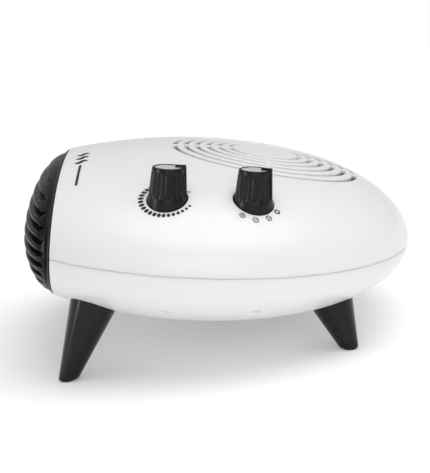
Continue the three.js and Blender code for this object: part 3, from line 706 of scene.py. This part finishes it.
def dome_normal(points):
    step = 0.05 * mm
    x, z = points[:, 0], points[:, 2]
    along = (dome_face(x + step, z) - dome_face(x - step, z)) / (2 * step)
    across = (dome_face(x, z + step) - dome_face(x, z - step)) / (2 * step)
    return unit(np.stack([along, -np.ones_like(x), across], axis=-1))


foot_turns = np.linspace(0, 2 * math.pi, 280, endpoint=False)
foot_climb = (dome_foot - 0.05 * mm - dome_back) / dome_depth
foot_share = (1 - foot_climb**2) ** (1 / dome_fullness(foot_turns))
foot_x = foot_share * np.cos(foot_turns) * dome_half
foot_z = foot_share * np.sin(foot_turns)
foot_z *= np.where(foot_z > 0, dome_rise, dome_drop)
foot_chart = dome_chart(foot_x, foot_z)


def slot_edges(z, grown):
    """A slot's loop, either its true edge or grown to where its rounded edges begin.

    It ends a little short of the dome's foot, and its edges sharpen over the last 9 mm.
    """
    clearance = 1.9 * mm
    farthest = max((z + clearance) / dome_rise, (clearance - z) / dome_drop)
    reach = dome_half * math.sqrt(0.9853 - farthest**2) - 0.4 * mm
    stops = np.linspace(-1, 1, 2 * int(reach / (1.9 * mm)))
    x = reach * (0.35 * np.sin(stops * math.pi / 2) + 0.65 * stops)
    bend = slat_bend * np.clip((reach - np.abs(x)) / (9 * mm), 0.15, 1)
    grow = bend if grown else np.zeros_like(bend)
    half = slat_slot / 2
    end = 0.3 * mm if grown else 0
    x = x * (1 + end / reach)
    lower = np.stack([x, z - half - grow], axis=-1)
    upper = np.stack([x[::-1], z + half + grow[::-1]], axis=-1)
    return np.vstack([lower, upper]), np.concatenate([bend, bend[::-1]])


slots = [slat_middle + (k - (slat_slots - 1) / 2) * slat_pitch for k in range(slat_slots)]
grown = [slot_edges(z, True)[0] for z in slots]
# One row of points runs along the crown of each slat.
crowns = []
for z in slots[:-1]:
    ridge = z + slat_pitch / 2
    half = dome_half * math.sqrt(max(0.05, 1 - ((ridge - slat_middle) / (39 * mm)) ** 2)) * 0.93
    crowns += [(x, ridge) for x in np.linspace(-half, half, int(half / (1.2 * mm)))]
spots = ring_spots(34, lambda spread: int(10 + 190 * spread))
loops = [dome_chart(*loop.T) for loop in grown]
spots = keep_clear(spots, [foot_chart] + loops, 0.014)
spots = spots[np.linalg.norm(spots, axis=1) < np.linalg.norm(foot_chart, axis=1).min() - 0.012]
fill = np.vstack([spots, dome_chart(*np.array(crowns).T)])
chart, rounds, triangles = skin_triangles(foot_chart, loops, fill)
outer = dome_points(chart)
normal = dome_normal(outer)
back = np.array([0, 1.0, 0])
frontness = np.clip((-normal[:, 1:2] - 0.35) / 0.2, 0, 1)
inner = frontness * (outer + back * dome_wall) + (1 - frontness) * (outer - normal * dome_wall)
inner[:, 1] = np.minimum(inner[:, 1], dome_foot)
edge = outer[rounds[0]]
inwards = -unit(normal[rounds[0]] * [1, 0, 1])
walls = [edge_bend(edge, back * 0.2 * mm, inwards * 0.2 * mm)]
walls[0].append(edge + back * 0.2 * mm + inwards * 2.2 * mm)
for z, around in zip(slots, rounds[1:]):
    start, slope = outer[around], normal[around]
    true_edge, bend = slot_edges(z, False)
    reach = np.zeros_like(start)
    reach[:, ::2] = true_edge - start[:, ::2]
    reach[:, 1] = -(reach[:, 0] * slope[:, 0] + reach[:, 2] * slope[:, 2]) / np.minimum(slope[:, 1], -0.25)
    rings = edge_bend(start, reach, back * bend[:, None] * 1.15, 4)
    deep = rings[-1] + back * (slat_depth - slat_bend)
    behind = deep - unit(reach * [1, 0, 1]) * slat_back
    root = behind.copy()
    root[:, 1] = np.minimum(dome_face(root[:, 0], root[:, 2]) + 2.55 * mm, dome_foot + 0.05 * mm)
    walls.append(rings + [deep, behind, root])
verts, faces = closed_skin(outer, inner, triangles, rounds, walls)
grille = tidy_mesh(mesh_piece("outlet_grille_dome", in_room(verts), faces, grille_black))
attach(grille, "heater")
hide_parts("outlet_grille")

# ---- Dials ----
# Black fluted knobs on upright shafts: a smooth flared skirt that sinks through the shell, flutes
# above it, a pointer fin over the edge, and a light grey disc let into the top.

knob_black = moulded("knob_black", (0.007, 0.007, 0.008), 0.33, 0.03, (900, 0.03), 0.2, 0.01, 0.22)
cap_grey = moulded("cap_grey", (0.52, 0.53, 0.55), 0.2, 0.03, (900, 0.03), 0.03)
flute_count, flute_most = 20, 0.6
pointers = {"thermostat": 0.0, "selector": math.radians(20)}
# Height and radius in millimetres: the skirt, the straight taper of the fluted grip, whose rows
# stand closer where the flutes fade, and the rounded rim round the disc.
skirt_line = [
    (25.0, 11.2), (26.0, 11.4), (30.0, 11.4), (33.0, 11.4), (35.2, 11.36), (36.2, 11.27), (37.0, 11.16),
    (37.6, 11.05), (38.2, 10.93), (38.8, 10.82), (39.4, 10.73), (40.2, 10.64), (41.0, 10.57),
]
grip_rows = (42.0, 43.5, 45.0, 46.5, 48.0, 49.5, 50.5, 51.2, 51.8, 52.4, 53.0, 53.5)
grip_line = [(height, 10.57 - 0.0904 * (height - 41.0)) for height in grip_rows]
rim_line = [
    (54.2, 9.36), (54.9, 9.2), (55.3, 8.95), (55.5, 8.6), (55.48, 8.2), (55.3, 7.95), (54.9, 7.85),
    (54.2, 7.85),
]
knob_profile = skirt_line + grip_line + rim_line
knob_sides = 320


def flute_depth(height):
    """The flutes fade in below the top edge and run out above the skirt."""
    rise = np.clip((height - 37.0) / 3.6, 0, 1)
    fall = np.clip((53.4 - height) / 2.2, 0, 1)
    return flute_most * rise * rise * (3 - 2 * rise) * fall * fall * (3 - 2 * fall)


def turned_rows(rows, sides):
    """Faces between rows of points that go round an axis, and one over each end."""
    faces = []
    for r in range(rows - 1):
        for i in range(sides):
            j = (i + 1) % sides
            faces.append((r * sides + i, r * sides + j, (r + 1) * sides + j, (r + 1) * sides + i))
    faces.append(tuple(range(sides - 1, -1, -1)))
    faces.append(tuple(range((rows - 1) * sides, rows * sides)))
    return faces


def soft_box(low, high, bend):
    """A block with rounded edges, as rows of points round Z, for small raised features."""
    (x0, y0, z0), (x1, y1, z1) = low, high
    rows = []
    for z, inset in ((z0, 0.0), (z1 - bend, 0.0), (z1 - bend * 0.3, bend * 0.3), (z1, bend)):
        corner = []
        for cx, cy, start in ((x1, y1, 0), (x0, y1, 90), (x0, y0, 180), (x1, y0, 270)):
            for k in range(4):
                turn = math.radians(start + 30 * k)
                inner_x = cx - math.copysign(bend, cx - (x0 + x1) / 2)
                inner_y = cy - math.copysign(bend, cy - (y0 + y1) / 2)
                reach = bend - inset
                corner.append((inner_x + reach * math.cos(turn), inner_y + reach * math.sin(turn), z))
        rows.append(corner)
    return np.vstack(rows), turned_rows(len(rows), 16)


def join_parts(parts):
    verts, faces = [], []
    for part_verts, part_faces in parts:
        faces += [tuple(i + len(verts) for i in f) for f in part_faces]
        verts += [tuple(v) for v in part_verts]
    return np.array(verts), faces


def turned_to(points, clockwise, x, y):
    """Points made with the pointer towards +Y, turned clockwise seen from above and set at x, y."""
    c, s = math.cos(-clockwise), math.sin(-clockwise)
    points = np.asarray(points)
    plan = points[:, :2] @ np.array([[c, s], [-s, c]])
    return np.hstack([plan + [x, y], points[:, 2:3]])


def knob_mesh():
    turns = np.linspace(0, 2 * math.pi, knob_sides, endpoint=False)
    wave = 1 - np.abs(np.cos(turns * flute_count / 2)) ** 1.6
    rows = []
    for height, radius in knob_profile:
        ring = radius - flute_depth(height) * wave
        level = np.full_like(turns, height)
        rows.append(np.stack([ring * np.cos(turns), ring * np.sin(turns), level], axis=-1))
    body = (np.vstack(rows), turned_rows(len(rows), knob_sides))
    top_bar = soft_box((-1.05, 3.9, 54.3), (1.05, 10.2, 56.8), 0.25)
    side_fin = []
    fin_edge = ((37.5, 10.9), (39.5, 11.1), (44.0, 10.85), (50.0, 10.55), (55.6, 10.25), (56.5, 10.1))
    for height, reach in fin_edge:
        side_fin.append([(1.0, 7.5, height), (1.0, reach - 0.3, height), (0.7, reach, height),
                         (-0.7, reach, height), (-1.0, reach - 0.3, height), (-1.0, 7.5, height)])
    fin = (np.vstack(side_fin), turned_rows(len(side_fin), 6))
    verts, faces = join_parts([body, top_bar, fin])
    return verts * mm, faces


def disc_mesh():
    """A slightly crowned disc with a soft edge."""
    turns = np.linspace(0, 2 * math.pi, 96, endpoint=False)
    rows = []
    for radius, height in ((7.5, 54.4), (7.72, 54.6), (7.72, 55.0), (7.6, 55.2), (7.3, 55.27), (6.0, 55.31),
                           (4.5, 55.34), (3.0, 55.36), (1.5, 55.37), (0.5, 55.37)):
        level = np.full_like(turns, height)
        rows.append(np.stack([radius * np.cos(turns), radius * np.sin(turns), level], axis=-1))
    return np.vstack(rows) * mm, turned_rows(len(rows), 96)


for name, (x, y) in dial_places.items():
    verts, faces = knob_mesh()
    verts = in_room(turned_to(verts, pointers[name], x, y))
    knob = tidy_mesh(mesh_piece(name + "_knob_grip", verts, faces, knob_black))
    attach(knob, name + "_dial")
    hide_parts(name + "_knob")
    verts, faces = disc_mesh()
    verts = in_room(turned_to(verts, pointers[name], x, y))
    cap = tidy_mesh(mesh_piece(name + "_knob_disc", verts, faces, cap_grey))
    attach(cap, name + "_dial")
    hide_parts(name + "_knob_cap")

# The thermostat's disc has one small black spot at the edge nearest the middle of the pod.
rows = []
for grow, height in ((1.0, 55.2), (1.0, 55.38), (0.8, 55.47), (0.4, 55.5)):
    turns = np.linspace(0, 2 * math.pi, 24, endpoint=False)
    ring = [-6.5 + 0.75 * grow * np.cos(turns), 1.3 + 1.1 * grow * np.sin(turns), np.full(24, height)]
    rows.append(np.stack(ring, axis=-1))
spot = turned_to(np.vstack(rows) * mm, 0, *dial_places["thermostat"])
disc_dark_spot = tidy_mesh(mesh_piece("thermostat_knob_spot", in_room(spot), turned_rows(4, 24), knob_black))
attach(disc_dark_spot, "thermostat_dial")

# ---- Printed marks ----
# Black pad-printed ink on the upper shell: growing dots with a minus and a plus round the
# thermostat, four plain settings round the selector, and a plain heat-wave sign near the outlet.

ink, nodes, links, shader = paint("printed_ink")
ink_wear = nodes.new("ShaderNodeTexNoise")
ink_wear.inputs["Scale"].default_value = 1400
ink_tone = nodes.new("ShaderNodeMapRange")
ink_tone.inputs["To Min"].default_value = 0.006
ink_tone.inputs["To Max"].default_value = 0.02
links.new(nodes.new("ShaderNodeTexCoord").outputs["Object"], ink_wear.inputs["Vector"])
links.new(ink_wear.outputs["Fac"], ink_tone.inputs["Value"])
links.new(ink_tone.outputs["Result"], shader.inputs["Base Color"])
shader.inputs["Roughness"].default_value = 0.5
shader.inputs["Specular IOR Level"].default_value = 0.3


print_top, print_bottom = 0.05 * mm, -0.02 * mm


def on_shell(plan, lift):
    plan = np.asarray(plan)
    points = np.hstack([plan, pod_height(plan[:, 0], plan[:, 1])[:, None]])
    return points + pod_normal(points, pod_rise) * lift


def ink_patch(outline):
    """A filled shape of ink: a thin closed pad that follows the shell."""
    count = len(outline)
    centre = np.mean(outline, axis=0)
    inner_ring = centre + (np.asarray(outline) - centre) * 0.5
    plan = np.vstack([[centre], inner_ring, outline])
    top = on_shell(plan, print_top)
    under = on_shell(outline, print_bottom)
    faces = [(0, 1 + i, 1 + (i + 1) % count) for i in range(count)]
    for i in range(count):
        j = (i + 1) % count
        faces.append((1 + i, 1 + count + i, 1 + count + j, 1 + j))
        faces.append((1 + count + i, 1 + 2 * count + i, 1 + 2 * count + j, 1 + count + j))
    faces.append(tuple(range(3 * count, 2 * count, -1)))
    return np.vstack([top, under]), faces


def ink_stroke(path, width, closed=False):
    """A line of ink of one width along a path in plan."""
    path = np.asarray(path, float)
    if closed:
        ahead = np.roll(path, -1, axis=0) - np.roll(path, 1, axis=0)
    else:
        ahead = np.gradient(path, axis=0)
    across = unit(np.stack([-ahead[:, 1], ahead[:, 0]], axis=-1)) * width / 2
    rows = [on_shell(path - across, print_top), on_shell(path + across, print_top),
            on_shell(path + across, print_bottom), on_shell(path - across, print_bottom)]
    count = len(path)
    verts, faces = np.vstack(rows), []
    for r in range(4):
        near, far = r * count, ((r + 1) % 4) * count
        for i in range(count if closed else count - 1):
            j = (i + 1) % count
            faces.append((near + i, near + j, far + j, far + i))
    if not closed:
        faces.append((0, count, 2 * count, 3 * count))
        faces.append((count - 1, 4 * count - 1, 3 * count - 1, 2 * count - 1))
    return verts, faces


def oval(x, y, along, across, turn, count=28):
    """An oval whose long way points away from the dial at that turn."""
    t = np.linspace(0, 2 * math.pi, count, endpoint=False)
    u, v = along / 2 * np.cos(t), across / 2 * np.sin(t)
    c, s = math.cos(turn), math.sin(turn)
    return np.stack([x + u * s + v * c, y + u * c - v * s], axis=-1)


def beside_dial(name, turn, radius):
    x, y = dial_places[name]
    return x + radius * math.sin(turn), y + radius * math.cos(turn)


# The thermostat's dots start small and grow clockwise. A minus stands before them, a plus after.
marks = []
for dot in range(22):
    turn = math.radians(30 + 11 * dot)
    x, y = beside_dial("thermostat", turn, (15.2 - math.sin(turn) ** 2) * mm)
    along = (1.7 + 1.7 * min(1.0, dot / 14)) * mm
    across = (1.5 + 0.7 * min(1, dot / 7)) * mm
    marks.append(ink_patch(oval(x, y, along, across, turn)))
for turn, radius, is_plus in ((-24, 13.3, False), (282, 14.2, True)):
    x, y = beside_dial("thermostat", math.radians(turn), radius * mm)
    marks.append(ink_stroke([(x, y - 1.1 * mm), (x, y), (x, y + 1.1 * mm)], 0.75 * mm))
    if is_plus:
        marks.append(ink_stroke([(x - 1.1 * mm, y), (x, y), (x + 1.1 * mm, y)], 0.75 * mm))
verts, faces = join_parts(marks)
scale_print = tidy_mesh(mesh_piece("thermostat_scale_print", in_room(verts), faces, ink))
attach(scale_print, "heater")


def sign(x, y, lines, width):
    """Strokes given in a sign's own frame, with its right along +Y and its top along -X."""
    made = []
    for path, closed in lines:
        path = np.asarray(path) * mm
        made.append(ink_stroke(np.stack([x - path[:, 1], y + path[:, 0]], axis=-1), width, closed))
    return made


def circle(radius):
    t = np.linspace(0, 2 * math.pi, 40, endpoint=False)
    return np.stack([radius * np.cos(t), radius * np.sin(t)], axis=-1)


def wave(half, height, level):
    t = np.linspace(-1, 1, 18)
    return np.stack([half * t, level + height * np.sin(t * math.pi)], axis=-1)


# The selector's four settings: off, fan alone, low heat and full heat.
marks = []
x, y = beside_dial("selector", math.radians(22), 14.6 * mm)
marks += sign(x, y, [(circle(1.3), True)], 0.8 * mm)
x, y = beside_dial("selector", math.radians(54), 14.7 * mm)
marks += sign(x, y, [(circle(1.55), True)], 0.42 * mm)
for blade in range(3):
    bent = [(0.25 + 1.0 * s, 0.55 * math.sin(s * 2.6)) for s in np.linspace(0, 1, 9)]
    c, s = math.cos(math.radians(120 * blade)), math.sin(math.radians(120 * blade))
    marks += sign(x, y, [([(a * c - b * s, a * s + b * c) for a, b in bent], False)], 0.42 * mm)
x, y = beside_dial("selector", math.radians(86), 15.3 * mm)
marks += sign(x, y, [(circle(1.55), True), (wave(0.9, 0.26, 0), False)], 0.46 * mm)
x, y = beside_dial("selector", math.radians(115), 15.3 * mm)
two_waves = [(wave(0.85, 0.2, level), False) for level in (0.45, -0.45)]
marks += sign(x, y, [(circle(1.55), True)] + two_waves, 0.42 * mm)
verts, faces = join_parts(marks)
selector_print = tidy_mesh(mesh_piece("selector_scale_print", in_room(verts), faces, ink))
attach(selector_print, "heater")

# The sign by the outlet: three waves of heat over a bar.
marks = []
for row in range(3):
    t = np.linspace(0, 1, 40)
    start = (12 + 9 * row) * mm
    y = (-76.2 + 5.4 * t) * mm
    x = start + (2.1 * np.sin(t * 2 * math.pi) + 3) * mm
    marks.append(ink_stroke(np.stack([x, y], axis=-1), 3.0 * mm))
marks.append(ink_stroke([((40 + k) * mm, -73.4 * mm) for k in range(0, 31, 2)], 1.5 * mm))
verts, faces = join_parts(marks)
heat_print = tidy_mesh(mesh_piece("heat_wave_print", in_room(verts), faces, ink))
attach(heat_print, "heater")

# ---- Legs and feet ----
# Four splayed cones of satin black plastic, the front pair longer, each screwed up against the
# belly from inside and cut to its curve, with a rubber pad let into the foot.

leg_black = moulded("leg_black", (0.007, 0.007, 0.008), 0.2, 0.02, (500, 0.02), 0.15, 0.0, 0.24)
rubber = moulded("rubber_foot", (0.02, 0.02, 0.02), 0.85, 0.05, (4000, 0.6), 0.3, 0.1, 0.3)
# Of each right-hand leg: the foot's place in the room, the socket's place in the pod, and the
# cone's radius at its foot and at its top, all in millimetres.
legs = {
    "front": ((87, -96.1), (82, -61, -31), 5.4, 13.9),
    "rear": ((70, 74.4), (63, 83, -31), 5.2, 12.7),
}
leg_bottom, leg_sides = 0.8 * mm, 72
foot_edge = ((0.75, 0.0), (0.32, 0.16), (0.1, 0.42), (0.0, 0.85))


def pod_inside(point):
    """Below zero inside the pod, above zero outside it, for a point in the room."""
    local = (point - pod_place) @ pod_turn
    rise = pod_rise if local[2] > 0 else pod_drop
    height = local[2] / flare(local[1])
    return (math.hypot(local[0], local[1]) / pod_radius) ** pod_fullness + (height / rise) ** 2 - 1


def meets_pod(start, end):
    low, high = 0.0, 1.0
    for _ in range(40):
        middle = (low + high) / 2
        if pod_inside(start + (end - start) * middle) > 0:
            low = middle
        else:
            high = middle
    return start + (end - start) * low


for end_name, (foot, socket, foot_radius, top_radius) in legs.items():
    for side_name, side in (("right", 1), ("left", -1)):
        low = np.array([side * foot[0] * mm, foot[1] * mm, 0])
        high = in_room([[side * socket[0] * mm, socket[1] * mm, socket[2] * mm]])[0]
        axis = unit(high - low)
        across = unit(np.cross(axis, [0, 1, 0]))
        along = np.cross(axis, across)
        length = np.linalg.norm(high - low)
        rows = [[] for _ in range(21)]
        for k in range(leg_sides):
            turn = 2 * math.pi * k / leg_sides
            arm = across * math.cos(turn) + along * math.sin(turn)
            bottom = low + arm * foot_radius * mm
            slope = unit(axis * length + arm * (top_radius - foot_radius) * mm)
            foot_point = bottom + slope * (leg_bottom - bottom[2]) / slope[2]
            top_point = meets_pod(foot_point, foot_point + slope * (length + 25 * mm))
            top_point = top_point - slope * 0.05 * mm
            level = unit(arm * [1, 1, 0])
            rows[0].append(foot_point - level * 1.3 * mm)
            for row, (inset, climb) in enumerate(foot_edge, 1):
                rows[row].append(foot_point - level * inset * mm + slope * climb * mm)
            start = foot_point + slope * 0.85 * mm
            for row in range(5, 20):
                share = (row - 4) / 15
                rows[row].append(start + (top_point - start) * share)
            rows[20].append(top_point - arm * 1.2 * mm)
        verts = np.vstack(rows)
        faces = turned_rows(len(rows), leg_sides)
        name = end_name + "_" + side_name
        leg = tidy_mesh(mesh_piece("leg_cone_" + name, verts, faces, leg_black))
        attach(leg, "heater")
        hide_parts("leg_" + name)
        pad = frame["nodes"]["foot_pad_" + name]
        pad.data.materials.clear()
        pad.data.materials.append(rubber)

# ---- Cord gland ----
# A round black grommet in the tail, away from the dials, square to the shell. Its rounded rim
# lies on the shell and its bore is open for the mains lead.

gland_black = moulded("gland_black", (0.014, 0.014, 0.015), 0.5, 0.05, (3000, 0.3), 0.2, 0.05, 0.4)
# Radius and place along the bore, in millimetres: the inner flange, the waist and the outer rim.
gland_section = [
    (3.8, -6.0), (6.4, -6.0), (6.6, -5.8), (6.6, -4.4), (5.3, -4.4), (5.3, 0.2), (6.7, 0.35), (6.95, 0.7),
    (6.9, 1.4), (6.6, 2.2), (6.1, 2.75), (5.4, 3.0), (4.6, 3.0), (4.1, 2.8), (3.85, 2.4), (3.8, 1.8),
    (3.8, -2.0),
]
rows = [inlet_ring(radius, along) for radius, along in gland_section]
verts, faces = ring_of_rows(rows)
gland = tidy_mesh(mesh_piece("cord_gland_grommet", in_room(verts), faces, gland_black))
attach(gland, "heater")
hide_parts("cord_gland")

# ---- Working parts inside ----
# What shows through the slots and openings keeps its own made shape: the fan and its duct in
# heat-resistant plastic, the folded fins and ceramic bars, zinc-plated steel, brass and nylon.

duct_black = moulded("duct_black", (0.007, 0.007, 0.008), 0.7, 0.08, (1500, 0.4), 0.25, 0.02, 0.1)
fan_grey = moulded("fan_grey", (0.04, 0.042, 0.046), 0.45, 0.08, (1500, 0.3), 0.2, 0.15, 0.4)
nylon = moulded("natural_nylon", (0.72, 0.68, 0.56), 0.5, 0.06, (1800, 0.3), 0.08, 0.05)
ceramic = moulded("ceramic_bar", (0.27, 0.25, 0.23), 0.75, 0.1, (5000, 0.9), 0.3, 0.1, 0.3)

# The skin of bare metal: a mottled tone and fine scratches that run one way.
metal_skin, taken, given = group_of(
    "metal_skin",
    [("Colour", "NodeSocketColor", (0.6, 0.6, 0.6, 1)), ("Gloss", "NodeSocketFloat", 0.35),
     ("Mottle", "NodeSocketFloat", 0.15), ("Scratch", "NodeSocketFloat", 0.2)],
    [("Colour", "NodeSocketColor"), ("Roughness", "NodeSocketFloat"), ("Normal", "NodeSocketVector")],
)
place = metal_skin.nodes.new("ShaderNodeTexCoord").outputs["Object"]
stretched = metal_skin.nodes.new("ShaderNodeMapping")
stretched.inputs["Scale"].default_value = (0.15, 1.0, 1.0)
metal_skin.links.new(place, stretched.inputs["Vector"])
mottle = noise_at(metal_skin, place, 260.0, 3.0)
scratch = noise_at(metal_skin, stretched.outputs["Vector"], 3500.0, 2.0)
dull = math_node(metal_skin, "SUBTRACT", 1.0, taken.outputs["Mottle"])
tone = ranged(metal_skin, mottle, dull, 1.0)
toned = blended(metal_skin, "MULTIPLY", 1.0, taken.outputs["Colour"], tone)
gloss = math_node(metal_skin, "ADD", taken.outputs["Gloss"], ranged(metal_skin, scratch, -0.06, 0.1))
relief = raised(metal_skin, scratch, taken.outputs["Scratch"], 0.01 * mm)
metal_skin.links.new(toned, given.inputs["Colour"])
metal_skin.links.new(gloss, given.inputs["Roughness"])
metal_skin.links.new(relief, given.inputs["Normal"])


def metal(name, colour, gloss, mottle, scratch):
    values = {"Colour": (*colour, 1), "Gloss": gloss, "Mottle": mottle, "Scratch": scratch}
    made, shader = skinned(name, metal_skin, values)
    shader.inputs["Metallic"].default_value = 1.0
    return made


zinc_steel = metal("zinc_steel", (0.58, 0.59, 0.6), 0.38, 0.25, 0.3)
motor_steel = metal("motor_steel", (0.42, 0.43, 0.44), 0.45, 0.3, 0.2)
fin_aluminium = metal("fin_aluminium", (0.72, 0.73, 0.74), 0.42, 0.2, 0.35)
brass = metal("turned_brass", (0.7, 0.55, 0.26), 0.32, 0.2, 0.4)

# Each finish and the pieces that have it, by the start of their names.
inside_finishes = (
    (duct_black, ("duct_tray", "duct_cover", "element_frame", "cord_clamp")),
    (fan_grey, ("fan_impeller",)),
    (motor_steel, ("fan_motor",)),
    (zinc_steel, ("motor_shaft", "motor_bracket", "control_bracket", "overheat_cutout",
                  "thermostat_nut", "selector_nut")),
    (brass, ("thermal_fuse", "thermostat_shaft", "selector_shaft")),
    (nylon, ("thermostat_body", "selector_body", "terminal_block")),
    (fin_aluminium, ("fin_pack",)),
    (ceramic, ("ceramic_bar",)),
)
for node_name, node in frame["nodes"].items():
    for finish, starts in inside_finishes:
        if node_name.startswith(starts) or ("screw" in node_name and finish is zinc_steel):
            node.data.materials.clear()
            node.data.materials.append(finish)

# ---- Strip light's reach ----
# The strip in front of the outlet is flagged so that it reaches only the grille, the bezel, the
# legs and the knobs, and draws the long highlights on their black plastic.

lit = bpy.data.collections.new("lit_by_strip")
for piece in bpy.data.objects:
    if piece.name.startswith(("outlet_", "leg_cone", "thermostat_knob", "selector_knob")):
        lit.objects.link(piece)
outlet_side_strip.light_linking.receiver_collection = lit
